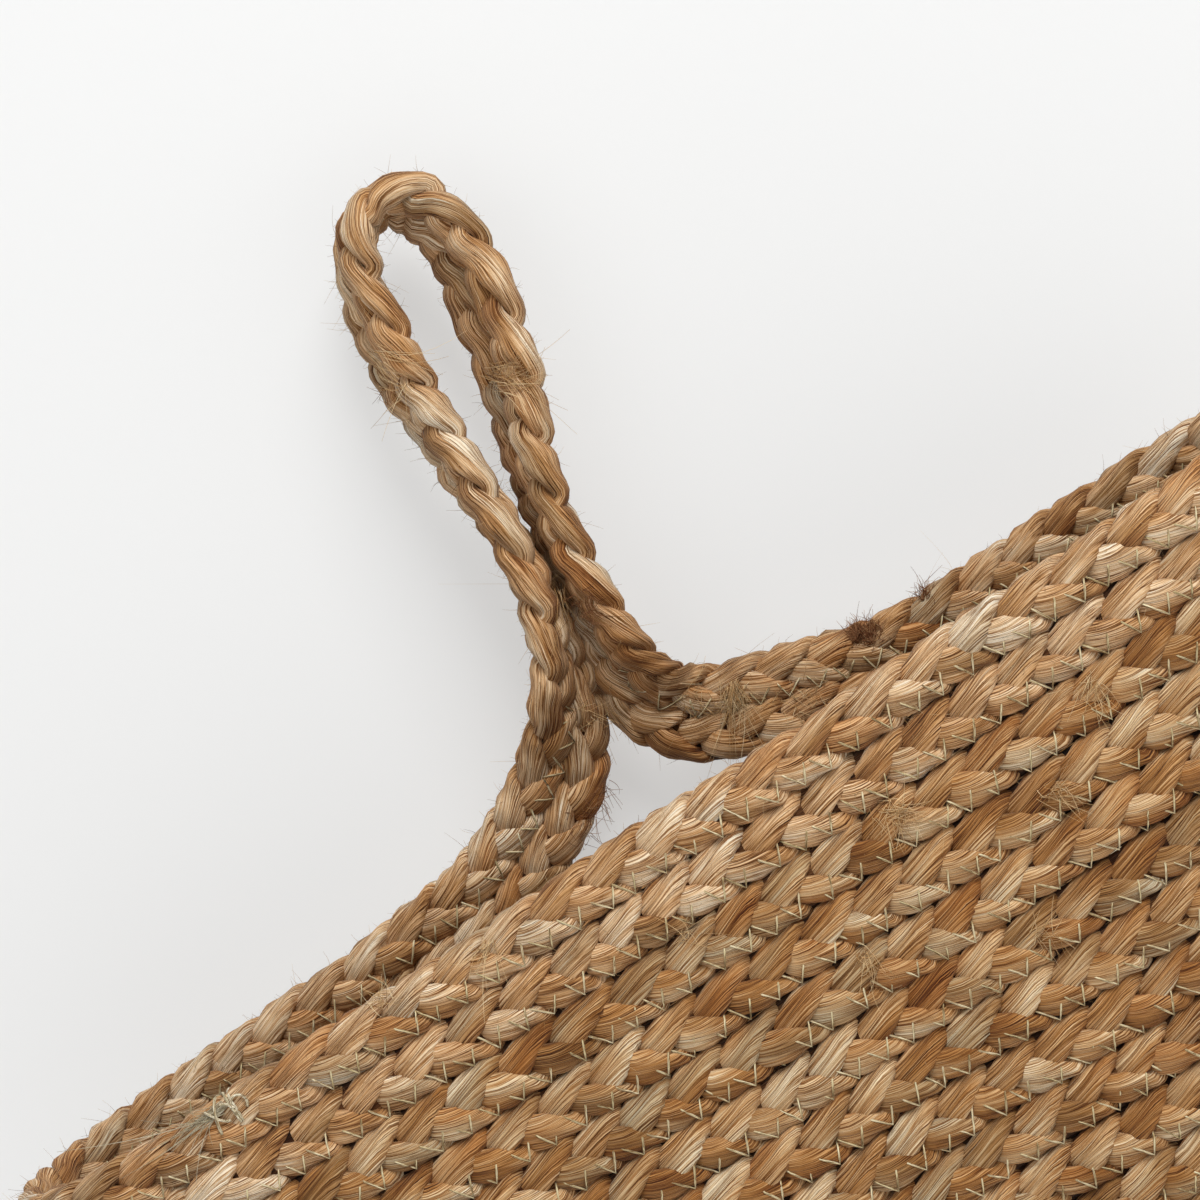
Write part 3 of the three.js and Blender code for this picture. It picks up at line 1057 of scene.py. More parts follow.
@dataclass(frozen=True)
class LoopLine:
    """The middle line of the band that makes the hanging loop.

    Each station holds a place along X and a height over the rim, both in millimetres, and how far the
    band has turned from the wall's plane towards the room there, in degrees.
    """

    left_foot: tuple[tuple[float, float, float], ...] = (
        (-110.0, -14.85, 0.0), (-94.0, -13.0, 0.0), (-78.0, -11.4, 0.0), (-62.5, -9.0, 0.0),
        (-48.4, -3.4, 0.0), (-37.0, 2.4, 2.0), (-27.6, 8.8, 7.0), (-18.4, 18.0, 26.0), (-12.2, 27.2, 46.0),
    )
    left_leg: tuple[tuple[float, float, float], ...] = (
        (-7.8, 36.0, 62.0), (-4.5, 45.0, 71.0), (-1.4, 57.0, 79.0), (0.2, 72.0, 86.0), (0.5, 90.0, 94.0),
        (0.0, 108.0, 103.0), (-0.4, 124.0, 108.0), (0.4, 140.0, 109.0), (2.8, 154.0, 106.0),
    )
    top: tuple[tuple[float, float, float], ...] = (
        (6.2, 166.2, 99.0), (12.4, 175.6, 90.0), (20.8, 179.2, 80.0), (28.8, 175.0, 70.0),
    )
    right_leg: tuple[tuple[float, float, float], ...] = (
        (33.0, 166.0, 63.0), (34.0, 154.0, 60.0), (32.2, 141.0, 61.0), (28.8, 127.0, 65.0),
        (24.6, 113.0, 68.0), (19.8, 100.0, 73.0), (15.8, 87.0, 75.0), (13.0, 72.0, 76.0), (11.1, 58.0, 75.0),
    )
    right_foot: tuple[tuple[float, float, float], ...] = (
        (9.7, 45.0, 70.0), (8.7, 34.0, 61.0), (8.2, 25.5, 47.0), (9.4, 16.6, 30.0), (14.2, 7.6, 12.0),
        (22.4, 1.0, 4.0), (36.0, -4.2, 0.0), (52.0, -8.9, 0.0), (66.0, -12.0, 0.0), (80.0, -14.2, 0.0),
        (94.0, -14.85, 0.0),
    )
    per_span: int = 9
    fall_sharpness: float = 4.0
    slack_from: float = 8.0 * MM
    slack_until: float = 44.0 * MM

    def stations(self) -> Array:
        """List all stations in order, in metres and radians."""
        rows = np.array(self.left_foot + self.left_leg + self.top + self.right_leg + self.right_foot)
        return rows * np.array([MM, MM, math.pi / 180.0])

    def band_route(self, sizes: FrameSizes, settle: "Settle") -> Route:
        """Make the middle line of the band of two braids: round the rim, and up and over the loop.

        The band's width stands square to the line in the wall's plane. It turns towards the room by the
        stations' angle, and sets forward with that angle's sine so that its rear edge stays in the
        wall's plane.

        Args:
            sizes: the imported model's sizes.
            settle: how the wall has settled.

        Returns:
            The closed route, from the left end of the straight back.
        """
        stations = self.stations()
        band_half = sizes.pitch - (sizes.pitch - sizes.width) / 2.0
        oval = sizes.wall_oval()
        height = sizes.rim - band_half
        before = oval.wall_route(height, 0.0, sizes.half_straight + stations[0, 0])
        after = oval.wall_route(height, sizes.half_straight + stations[-1, 0], oval.knots()[-1])
        curve = spline(stations, self.per_span)
        tangent = unit(np.gradient(curve[:, :2], axis=0))
        zero = np.zeros(len(curve))
        square = np.stack([-tangent[:, 1], zero, tangent[:, 0]], axis=-1)
        forward = np.array([0.0, -1.0, 0.0])
        cos, sin = np.cos(curve[:, 2:3]), np.sin(curve[:, 2:3])
        place = np.stack([curve[:, 0], zero + sizes.middle_radius(), sizes.rim + curve[:, 1]], axis=-1)
        place = place + forward * (band_half - sizes.thickness / 2.0) * sin
        inside = slice(1, None)
        fall = np.clip(-self.fall_sharpness * tangent[:, 1], -1.0, 1.0)
        slack = (smoothstep(curve[:, 1], self.slack_from, self.slack_until) * fall)[inside]
        route = Route(
            np.concatenate([before.place, place[inside], after.place[inside]]),
            np.concatenate([before.across, (square * cos + forward * sin)[inside], after.across[inside]]),
            np.concatenate([before.through, (forward * cos - square * sin)[inside], after.through[inside]]),
            slack=np.concatenate([np.zeros(len(before.place)), slack, np.zeros(len(after.place) - 1)]),
        )
        return settle.applied(route, sizes)


@dataclass(frozen=True)
class Settle:
    """How the sewn wall departs from its plain shape: a belly, an uneven lie and a pulled-up rim.

    The belly is a sine over the height, swelling more where a slow sine round the wall does. The lie is
    a slow sine round the wall that shifts rows up and down. Both sines have a whole number of waves
    round the wall and move on by an angle from the floor to the rim. At the back the rim sinks away from
    the loop, and the rows under it are pulled up beside the loop's feet. Both fade down the wall, and
    their gains make up for the fade at the first rows that they reach.
    """

    belly: float = 1.8 * MM
    belly_swing: float = 0.5
    belly_waves: tuple[float, float] = (3.0, 5.0)
    lie: float = 0.8 * MM
    lie_waves: tuple[float, float] = (5.0, 3.0)
    sink_gain: float = 1.6
    lift_gain: float = 2.2
    rim_margin: float = 2.0 * MM
    sink_right: float = 3.0 * MM
    sink_left: float = 1.4 * MM
    sink_right_from: float = 40.0 * MM
    sink_left_from: float = 95.0 * MM
    sink_over: float = 62.0 * MM
    lift: float = 2.6 * MM
    lift_places: tuple[float, float] = (-66.0 * MM, 56.0 * MM)
    lift_width: float = 20.0 * MM
    fade: float = 28.0 * MM

    def applied(self, route: Route, sizes: FrameSizes) -> Route:
        """Shift a wall route's places.

        Args:
            route: the plain route.
            sizes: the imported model's sizes.

        Returns:
            The settled route, with the same directions.
        """
        x, y, z = route.place.T
        share = np.clip(z / sizes.rim, 0.0, 1.0)
        angle = np.arctan2(y, x)
        belly_round, belly_up = self.belly_waves
        lie_round, lie_up = self.lie_waves
        swing = 1.0 + self.belly_swing * np.sin(belly_round * angle + belly_up * share)
        swell = np.sin(math.pi * share) * swing
        outward = unit(np.stack([x - np.clip(x, -sizes.half_straight, sizes.half_straight), y, 0.0 * z], -1))
        shift = self.belly * swell[:, None] * outward
        shift[:, 2] += self.lie * np.sin(math.pi * share) * np.sin(lie_round * angle + lie_up * share)
        back = smoothstep(y, 0.0, sizes.middle_radius()) * np.exp(-np.maximum(sizes.rim - z, 0.0) / self.fade)
        right_from, left_from = self.sink_right_from, self.sink_left_from
        sink = self.sink_right * smoothstep(x, right_from, right_from + self.sink_over)
        sink = sink + self.sink_left * smoothstep(-x, left_from, left_from + self.sink_over)
        tied = z < sizes.rim - 2.0 * sizes.pitch
        lift = self.lift * sum(np.exp(-(((x - place) / self.lift_width) ** 2)) for place in self.lift_places)
        shift[:, 2] += back * (np.where(tied, self.lift_gain * lift, 0.0) - self.sink_gain * sink)
        shift *= (z < sizes.rim - self.rim_margin)[:, None]
        return Route(route.place + shift, route.across, route.through, route.closed, route.slack)


@dataclass
class Braid:
    """One braid on its route, with the strands that were worked out for it."""

    name: str
    route: Route
    lay: Lay
    points: Array

    @staticmethod
    def plait(name: str, route: Route, shape: BraidShape, rng: np.random.Generator) -> "Braid":
        """Work a braid out and lay it along its route, flattened where it rests on the floor.

        Args:
            name: the piece's name.
            route: where it lies.
            shape: its sizes.
            rng: the source of its unevenness.

        Returns:
            The braid.
        """
        lay = lay_braid(shape, route, rng)
        points = route.carry(lay.along, lay.across, lay.through)
        points[..., 2] = np.maximum(points[..., 2], 0.0)
        return Braid(name, route, lay, points)

    def dress(self, finish: bpy.types.Material, lane: float) -> bpy.types.Object:
        """Make the braid's mesh object.

        Args:
            finish: the strands' material.
            lane: where its strands' lanes of the UV map start, so that no two braids look alike.

        Returns:
            The object.
        """
        strands, rings = self.points.shape[:2]
        along = np.broadcast_to(np.arange(rings) * (self.lay.length / rings), (strands, rings))
        lanes = lane + STRAND_LANE * np.arange(strands)
        return tube_skin(self.points, along, lanes, self.route.closed).piece(self.name, finish)

    def heart(self, shape: BraidShape, finish: bpy.types.Material, lane: float) -> bpy.types.Object:
        """Make the plain oval core that fills the middle of the braid where it hangs free.

        Args:
            shape: the braid's sizes.
            finish: the core's material.
            lane: where its lane of the UV map starts.

        Returns:
            The object.
        """
        known = self.route.distances()
        free = known[np.abs(self.route.slack) > shape.slack_least]
        along = np.arange(free[0], free[-1], shape.heart_step)
        points = oval_tube(self.route, along, shape.heart_half_width, shape.heart_half_thickness,
                           shape.heart_sides)
        skin = tube_skin(points[None], along[None], np.array([lane]), closed=False)
        return skin.piece(f"{self.name}_heart", finish)

    def long_heart(self, shape: BraidShape, finish: bpy.types.Material, lane: float) -> bpy.types.Object:
        """Make a core for the whole closed braid, wide enough to close its seams where it is sewn.

        Its half width goes over from the seams' to the free braid's as the braid starts to hang.

        Args:
            shape: the braid's sizes.
            finish: the core's material.
            lane: where its lane of the UV map starts.

        Returns:
            The object.
        """
        count = round(self.route.length() / shape.long_heart_step)
        along = np.arange(count) * (self.route.length() / count)
        free = smoothstep(np.abs(self.route.slack_at(along)), 0.0, shape.slack_least)
        half_width = shape.seam_half_width + (shape.heart_half_width - shape.seam_half_width) * free
        points = oval_tube(self.route, along, half_width, shape.heart_half_thickness,
                           shape.long_heart_sides)
        skin = tube_skin(points[None], along[None], np.array([lane]), closed=True)
        return skin.piece(f"{self.name}_heart", finish)


def seam_filling(name: str, braids: Sequence[Braid], half_width: float, shape: BraidShape,
                 finish: bpy.types.Material, rings: int = 88) -> bpy.types.Object:
    """Make the packed fibre inside some closed braids, which closes the gaps in their seams.

    Args:
        name: the piece's name.
        braids: the braids.
        half_width: half the filling's width.
        shape: the braids' sizes.
        finish: the filling's material.
        rings: how many rings each braid's filling has.

    Returns:
        The object.
    """
    along = np.stack([np.arange(rings) * (braid.route.length() / rings) for braid in braids])
    points = np.stack([
        oval_tube(braid.route, distance, half_width, shape.seam_half_thickness)
        for braid, distance in zip(braids, along)
    ])
    return tube_skin(points, along, FIBRE_LANE * np.arange(len(braids)), closed=True).piece(name, finish)


def tube_piece(name: str, tubes: Array, finish: bpy.types.Material,
               lane: float = FIBRE_LANE) -> bpy.types.Object:
    """Make one object of many short open tubes, each with its own lane of the UV map."""
    along = np.broadcast_to(np.arange(tubes.shape[1]) * MM, tubes.shape[:2])
    return tube_skin(tubes, along, lane * np.arange(len(tubes)), closed=False).piece(name, finish)


@dataclass(frozen=True)
class Zigzag:
    """The sewing: a zigzag of thread over a seam, seen as a row of V shapes on each face."""

    cycle: float = 8.8 * MM
    forward_reach: float = 4.6 * MM
    back_reach: float = 3.1 * MM
    rise: float = 6.3 * MM
    thread_radius: float = 0.3 * MM
    thread_lift: float = 0.6
    slack_sink: float = 1.0 * MM
    place_jitter: float = 0.13
    reach_range: tuple[float, float] = (0.8, 1.2)
    rise_range: tuple[float, float] = (0.85, 1.15)
    corner_rise: float = 0.3 * MM
    corner_dip: float = 0.4 * MM
    tip_dip: float = 1.2 * MM
    easings: int = 2
    points: int = 9
    sides: int = 4

    def sew(self, braid: Braid, edge: float, face: Face, rng: np.random.Generator) -> Array:
        """Lay the V shapes over the strands along one edge of a braid.

        Each V starts in the groove behind it, drops to its corner at the seam and rises to the groove
        ahead. The thread follows the strands' relief, a little eased, and dips in at both tips.

        Args:
            braid: the braid over whose strands the thread runs.
            edge: the offset over the braid's width at which the seam lies; its sign gives the side.
            face: the face to sew.
            rng: the source of the hand's unevenness.

        Returns:
            Threads by rings by sides by three.
        """
        count = int(braid.lay.length / self.cycle)
        inward = -math.copysign(1.0, edge)
        jitter = rng.uniform(-self.place_jitter, self.place_jitter, count)
        corner = (np.arange(count) + jitter) * (braid.lay.length / count)
        share = np.linspace(-1.0, 1.0, self.points)
        back = self.back_reach * rng.uniform(*self.reach_range, (count, 1))
        ahead = self.forward_reach * rng.uniform(*self.reach_range, (count, 1))
        rise = self.rise * rng.uniform(*self.rise_range, (count, 1))
        along = corner[:, None] + np.where(share < 0.0, back * share, ahead * share)
        across = edge + inward * (self.corner_rise + rise * np.abs(share))
        eased = Relief.measure(braid.lay, face).at(along, across)
        for _ in range(self.easings):
            eased[:, 1:-1] = np.maximum(eased[:, 1:-1], 0.5 * (eased[:, :-2] + eased[:, 2:]))
        dip = self.tip_dip * np.abs(share) ** 10 + self.corner_dip * (1.0 - np.abs(share)) ** 8
        sink = self.slack_sink * np.abs(braid.route.slack_at(along))
        height = eased + self.thread_lift * self.thread_radius - dip - sink
        middle = braid.route.carry(along, across, face.value * height)
        radius = np.broadcast_to(self.thread_radius, along.shape)
        return round_tubes(middle, radius, self.sides)

    def dress(self, name: str, threads: Array, finish: bpy.types.Material) -> bpy.types.Object:
        """Make one object of some threads."""
        return tube_piece(name, threads, finish, STITCH_LANE)


@dataclass(frozen=True)
class Fuzz:
    """Stray fibres that stand off the strands all round."""

    per_metre: float
    length: float = 3.4 * MM
    radius: float = 0.07 * MM
    least_through: float = 2.6 * MM
    least_across: float = 5.2 * MM
    length_spread: float = 0.5
    longest: float = 2.4
    steepness: tuple[float, float] = (0.1, 0.95)
    curl: float = 0.6
    root_depth: float = 0.3 * MM
    taper: float = 0.7
    furthest: float = 74.0 * MM
    lowest: float = 0.2 * MM
    points: int = 4
    sides: int = 3

    def grow(self, braid: Braid, rng: np.random.Generator) -> Array:
        """Grow fibres from the outer parts of a braid's strands.

        A fibre starts in a strand's skin, leaves it at some angle along the strand and curls: its
        middle line is the start, plus its way times t, plus its curl times t squared. It stays over
        the floor and within a distance of the basket's middle plane.

        Args:
            braid: the braid.
            rng: the source of places, lengths and curls.

        Returns:
            Fibres by rings by sides by three.
        """
        count = int(self.per_metre * braid.lay.length)
        strands, rings, sides = braid.lay.along.shape
        strand = rng.integers(0, strands, count)
        ring = rng.integers(0, rings, count)
        side = rng.integers(0, sides, count)
        out = (np.abs(braid.lay.through[strand, ring, side]) > self.least_through) | (
            np.abs(braid.lay.across[strand, ring, side]) > self.least_across)
        strand, ring, side = strand[out], ring[out], side[out]
        count = len(strand)
        start = braid.points[strand, ring, side]
        heart = braid.points[strand, ring].mean(axis=1)
        ahead = braid.points[strand, (ring + 1) % rings].mean(axis=1)
        outward = unit(start - heart)
        way = unit(ahead - heart) * rng.choice([-1.0, 1.0], (count, 1))
        steep = rng.uniform(*self.steepness, (count, 1))
        lead = unit(way * (1.0 - steep) + outward * steep)
        curl = rng.normal(0.0, self.curl, (count, 3))
        length = self.length * np.minimum(rng.lognormal(0.0, self.length_spread, (count, 1)), self.longest)
        t = np.linspace(0.0, 1.0, self.points)[None, :, None]
        root = (start - self.root_depth * outward)[:, None]
        middle = root + length[:, None] * (lead[:, None] * t + curl[:, None] * t ** 2)
        middle[..., 1] = np.clip(middle[..., 1], -self.furthest, self.furthest)
        middle[..., 2] = np.maximum(middle[..., 2], self.lowest)
        radius = self.radius * (1.0 - self.taper * t[..., 0]) * np.ones((count, 1))
        return round_tubes(middle, radius, self.sides)


@dataclass(frozen=True)
class Tuft:
    """A place where loose fibres lie over the strands.

    x is its place and height its height over the rim, in millimetres, and so are its spread, its
    fibres' length and how far their tips stand off. The heading is the way they point in the wall's
    plane, in degrees from +X towards +Z, and fan how far they differ from it.
    """

    x: float
    height: float
    spread: float
    length: float
    count: int
    heading: float
    fan: float
    stand: float = 1.0


def cloud_of(braids: Sequence[Braid], front: bool) -> Array:
    """Gather the points of some braids on the front or the back half of the basket, one row each."""
    points = np.concatenate([braid.points.reshape(-1, 3) for braid in braids])
    return points[(points[:, 1] < 0.0) == front]


def depth_over(cloud: Array, x: Array, z: Array, feel: float) -> Array:
    """Find the least y of the points within feel of places in the wall's plane, or infinity."""
    gap = (x[..., None] - cloud[:, 0]) ** 2 + (z[..., None] - cloud[:, 2]) ** 2
    return np.where(gap < feel ** 2, cloud[:, 1], np.inf).min(axis=-1)


@dataclass(frozen=True)
class Fraying:
    """Loose fibres in tufts, laid over the side of some braids that faces the room."""

    radius: float = 0.1 * MM
    feel: float = 1.5 * MM
    window: float = 24.0 * MM
    depth_window: float = 30.0 * MM
    place_spread: float = 0.5
    length_spread: float = 0.35
    curl: float = 0.3
    stand_range: tuple[float, float] = (0.1, 1.6)
    taper: float = 0.6
    points: int = 8
    sides: int = 3

    def lay(self, tufts: Sequence[Tuft], cloud: Array, rim: float, rng: np.random.Generator) -> Array:
        """Lay the fibres of some tufts.

        A fibre's line in the wall's plane is its start, plus its way times t, plus its curl times t
        squared. Its depth there is the least depth of the strands close by, never more than a step
        before, less its stand-off times t squared.

        Args:
            tufts: the tufts.
            cloud: the points of the braids that they lie on, one row each.
            rim: the rim's height.
            rng: the source of places, lengths and curls.

        Returns:
            Fibres by rings by sides by three.
        """
        t = np.linspace(0.0, 1.0, self.points)[None, :]
        lines = []
        for tuft in tufts:
            middle = np.array([tuft.x * MM, rim + tuft.height * MM])
            near = cloud[np.all(np.abs(cloud[:, [0, 2]] - middle) < self.window, axis=1)]
            near = near[near[:, 1] < near[:, 1].min() + self.depth_window]
            start = middle + tuft.spread * MM * rng.normal(0.0, self.place_spread, (tuft.count, 2))
            angle = np.radians(tuft.heading + tuft.fan * rng.normal(0.0, 1.0, tuft.count))
            length = tuft.length * MM * rng.lognormal(0.0, self.length_spread, (tuft.count, 1))
            curl = rng.normal(0.0, self.curl, (tuft.count, 2))
            flat = [
                start[:, axis:axis + 1] + length * (way[:, None] * t + curl[:, axis:axis + 1] * t ** 2)
                for axis, way in enumerate((np.cos(angle), np.sin(angle)))
            ]
            depth = np.minimum.accumulate(depth_over(near, *flat, self.feel), axis=1)
            stand = tuft.stand * MM * rng.uniform(*self.stand_range, (tuft.count, 1))
            line = np.stack([flat[0], depth - stand * t ** 2, flat[1]], axis=-1)
            lines.append(line[np.isfinite(depth[:, 0])])
        middle = np.concatenate(lines)
        radius = self.radius * (1.0 - self.taper * t) * np.ones((len(middle), 1))
        return round_tubes(middle, radius, self.sides)


def triangles(piece: bpy.types.Object) -> int:
    """Count the triangles that a piece's faces make."""
    return len(piece.data.loops) - 2 * len(piece.data.polygons)


def on_basket(piece: bpy.types.Object, slot: Slot, *nodes: str) -> None:
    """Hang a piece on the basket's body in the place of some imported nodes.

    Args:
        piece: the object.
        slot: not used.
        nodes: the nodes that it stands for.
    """
    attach(piece, "basket")
    if nodes:
        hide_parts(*nodes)
    LOG.info("%s: %d triangles on the basket", piece.name, triangles(piece))


def over_fold(piece: bpy.types.Object, slot: Slot, sizes: FrameSizes, *nodes: str) -> None:
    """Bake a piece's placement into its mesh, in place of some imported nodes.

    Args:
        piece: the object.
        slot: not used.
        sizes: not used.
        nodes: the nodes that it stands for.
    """
    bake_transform(piece)
    if nodes:
        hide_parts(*nodes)
    LOG.info("%s: %d triangles over the fold", piece.name, triangles(piece))


@dataclass
class Wall:
    """The wall's closed turns, standing on edge one on the other, with their sewing."""

    sizes: FrameSizes
    shape: BraidShape
    finishes: Finishes
    zigzag: Zigzag
    settle: Settle
    fuzz: Fuzz = Fuzz(520.0, length=2.4 * MM)
    seed: int = 21
    fibre_seed: int = 99
    frays: tuple[Tuft, ...] = (
        Tuft(47.0, -33.0, 5.0, 6.0, 70, -60.0, 50.0), Tuft(20.0, -62.0, 4.0, 6.0, 30, -100.0, 40.0),
        Tuft(86.0, -52.0, 4.0, 7.0, 36, -50.0, 40.0), Tuft(-18.0, -30.0, 3.0, 6.0, 22, 20.0, 40.0),
        Tuft(110.0, -34.0, 4.0, 7.0, 30, -120.0, 40.0), Tuft(64.0, -84.0, 4.0, 6.0, 24, -30.0, 50.0),
    )

    def route(self, turn: int) -> Route:
        """Give the settled route of a turn, numbered from 1 at the base."""
        height = (turn - 1) * self.sizes.pitch + self.sizes.width / 2.0
        return self.settle.applied(self.sizes.wall_oval().wall_route(height), self.sizes)

    def build(self) -> None:
        """Make each closed turn and the stitches that hold it to the turn below."""
        closed = self.sizes.turns - 2
        braids = []
        for turn in range(1, closed + 1):
            rng = np.random.default_rng([self.seed, turn])
            braid = Braid.plait(f"wall_braid_{turn:02d}", self.route(turn), self.shape, rng)
            on_basket(braid.dress(self.finishes.braid, BRAID_LANE * turn), Slot.BRAID,
                      f"wall_turn_{turn:02d}")
            if turn > 1:
                self.sew(braid, turn, rng)
            braids.append(braid)
        # The seam filling takes the near-black core finish: painted shade in the seams.
        on_basket(seam_filling("wall_seam_filling", braids, self.shape.seam_half_width, self.shape,
                               self.finishes.heart), Slot.BRAID)
        rng = np.random.default_rng([self.seed, self.fibre_seed])
        stray = np.concatenate([self.fuzz.grow(braid, rng) for braid in braids])
        on_basket(tube_piece("wall_stray_fibres", stray, self.finishes.stray), Slot.BRAID)
        frays = Fraying().lay(self.frays, cloud_of(braids, True), self.sizes.rim, rng)
        on_basket(tube_piece("wall_frayed_fibres", frays, self.finishes.pale), Slot.BRAID)

    def sew(self, braid: Braid, turn: int, rng: np.random.Generator) -> None:
        """Sew a turn to the one below it, on both faces.

        Args:
            braid: the upper turn.
            turn: its number.
            rng: the source of the hand's unevenness.
        """
        edge = -self.sizes.pitch / 2.0
        threads = np.concatenate([self.zigzag.sew(braid, edge, face, rng) for face in Face])
        piece = self.zigzag.dress(f"wall_stitches_{turn - 1:02d}", threads, self.finishes.thread)
        on_basket(piece, Slot.THREAD, f"wall_thread_{turn - 1:02d}")


@dataclass
class Band:
    """The last two turns, which leave the back rim as the hanging loop, with their sewing."""

    sizes: FrameSizes
    shape: BraidShape
    finishes: Finishes
    zigzag: Zigzag
    line: LoopLine
    settle: Settle
    fuzz: Fuzz = Fuzz(6300.0, length=1.8 * MM)
    hairs: Fuzz = Fuzz(80.0, length=6.0 * MM, radius=0.045 * MM, points=9)
    loop_half_width: float = 80.0 * MM
    pinch: float = 0.9 * MM
    pinch_width: float = 75.0 * MM
    seed: int = 77
    fibre_seed: int = 99
    hair_seed: int = 98
    pale_tufts: tuple[Tuft, ...] = (
        Tuft(32.0, 4.0, 3.2, 8.0, 110, -116.0, 24.0, 2.4), Tuft(22.0, 120.0, 4.0, 12.0, 26, -33.0, 20.0, 1.2),
        Tuft(24.0, 116.0, 4.0, 8.0, 24, 40.0, 50.0, 2.0), Tuft(-3.0, 143.0, 4.0, 12.0, 18, -60.0, 16.0, 1.2),
        Tuft(-1.0, 132.0, 3.0, 6.0, 16, 150.0, 50.0, 1.2), Tuft(5.0, 58.0, 2.0, 20.0, 8, -115.0, 12.0, 1.0),
        Tuft(-7.0, 22.0, 6.0, 6.0, 36, -100.0, 60.0, 1.0), Tuft(20.0, 8.0, 6.0, 7.0, 30, -40.0, 60.0, 1.5),
        Tuft(46.0, -9.0, 7.0, 6.0, 30, -60.0, 60.0, 1.5),
    )
    front_tufts: tuple[Tuft, ...] = (
        Tuft(-61.0, -3.6, 2.0, 9.0, 18, -140.0, 18.0), Tuft(-94.0, -1.0, 3.0, 4.0, 24, 60.0, 60.0, 1.5),
    )
    dark_tufts: tuple[Tuft, ...] = (
        Tuft(71.4, -3.2, 2.6, 2.9, 150, 92.0, 24.0, 0.5), Tuft(74.6, -4.6, 3.6, 2.4, 150, 50.0, 50.0, 0.3),
        Tuft(-16.0, -4.0, 5.0, 5.0, 50, -100.0, 70.0, 1.0),
        Tuft(-6.5, 132.0, 3.0, 2.6, 18, -110.0, 60.0, 0.8), Tuft(8.0, 50.0, 5.0, 6.0, 40, -90.0, 60.0, 1.0),
        Tuft(-26.0, -6.0, 7.0, 5.0, 50, -60.0, 70.0, 1.0), Tuft(94.0, -3.6, 2.6, 2.8, 60, 80.0, 40.0, 0.8),
    )

    def build(self) -> Braid:
        """Make both braids, the stitches between them and those that hold them to the wall.

        Returns:
            The upper braid, which makes the rim.
        """
        band = self.line.band_route(self.sizes, self.settle)
        edge = self.sizes.pitch / 2.0
        near = np.exp(-(band.place[:, 0] / self.pinch_width) ** 2) * (band.place[:, 1] > 0.0)
        offset = edge - self.pinch * near
        top, second = self.sizes.turns, self.sizes.turns - 1
        rng = np.random.default_rng([self.seed, top])
        upper = Braid.plait("rim_and_loop_front_braid", band.beside(offset), self.shape, rng)
        over_fold(upper.dress(self.finishes.rim, BRAID_LANE * top), Slot.BRAID, self.sizes,
                  f"wall_turn_{top:02d}", "loop_front_braid")
        rng = np.random.default_rng([self.seed, second])
        lower = Braid.plait("rim_and_loop_rear_braid", band.beside(-offset), self.shape, rng)
        over_fold(lower.dress(self.finishes.rim, BRAID_LANE * second), Slot.BRAID, self.sizes,
                  f"wall_turn_{second:02d}", "loop_rear_braid")
        # The cores take the near-black finish: painted shade in the gaps of the hanging braids.
        upper_heart = upper.heart(self.shape, self.finishes.heart, UPPER_HEART_LANE)
        over_fold(upper_heart, Slot.BRAID, self.sizes)
        lower_heart = lower.long_heart(self.shape, self.finishes.heart, LOWER_HEART_LANE)
        over_fold(lower_heart, Slot.BRAID, self.sizes)
        between = np.concatenate([self.zigzag.sew(upper, -edge, face, rng) for face in Face])
        piece = self.zigzag.dress("rim_and_loop_stitches", between, self.finishes.thread)
        over_fold(piece, Slot.THREAD, self.sizes, f"wall_thread_{second:02d}", "loop_thread")
        below = np.concatenate([self.zigzag.sew(lower, -edge, face, rng) for face in Face])
        self.sew_down(below, second)
        self.fray((upper, lower))
        return upper

    def fray(self, braids: Sequence[Braid]) -> None:
        """Add stray fibres all over the band, and tufts of pale and dark ones.

        Args:
            braids: the band's two braids.
        """
        rng = np.random.default_rng([self.seed, self.fibre_seed])
        self.stray("stray", self.fuzz, braids, rng)
        self.stray("long", self.hairs, braids, np.random.default_rng([self.seed, self.hair_seed]))
        back = cloud_of(braids, False)
        pale = Fraying().lay(self.pale_tufts, back, self.sizes.rim, rng)
        over_fold(tube_piece("rim_and_loop_pale_tufts", pale, self.finishes.pale), Slot.BRAID, self.sizes)
        dark = Fraying().lay(self.dark_tufts, back, self.sizes.rim, rng)
        over_fold(tube_piece("rim_and_loop_dark_tufts", dark, self.finishes.frayed), Slot.BRAID, self.sizes)
        front = Fraying().lay(self.front_tufts, cloud_of(braids, True), self.sizes.rim, rng)
        on_basket(tube_piece("front_rim_tufts", front, self.finishes.pale), Slot.BRAID)

    def stray(self, kind: str, fuzz: Fuzz, braids: Sequence[Braid], rng: np.random.Generator) -> None:
        """Grow one kind of stray fibre, and part those on the loop from the others.

        Args:
            kind: the kind's name.
            fuzz: its sizes.
            braids: the band's two braids.
            rng: the source of places, lengths and curls.
        """
        fibres = np.concatenate([fuzz.grow(braid, rng) for braid in braids])
        root = fibres[:, 0].mean(axis=1)
        bends = (np.abs(root[:, 0]) < self.loop_half_width) & (root[:, 1] > 0.0)
        over_fold(tube_piece(f"loop_{kind}_fibres", fibres[bends], self.finishes.stray), Slot.BRAID,
                  self.sizes)
        on_basket(tube_piece(f"rim_{kind}_fibres", fibres[~bends], self.finishes.stray), Slot.BRAID)

    def sew_down(self, threads: Array, turn: int) -> None:
        """Keep only the stitches that hold the band to the wall, below the rim.

        Args:
            threads: all stitches along the lower braid's lower edge.
            turn: that braid's number.
        """
        seam = (turn - 1) * self.sizes.pitch
        height = threads[..., 2].mean(axis=(1, 2))
        kept = threads[np.abs(height - seam) < self.sizes.pitch / 2.0]
        piece = self.zigzag.dress(f"wall_stitches_{turn - 1:02d}", kept, self.finishes.thread)
        on_basket(piece, Slot.THREAD, f"wall_thread_{turn - 1:02d}")


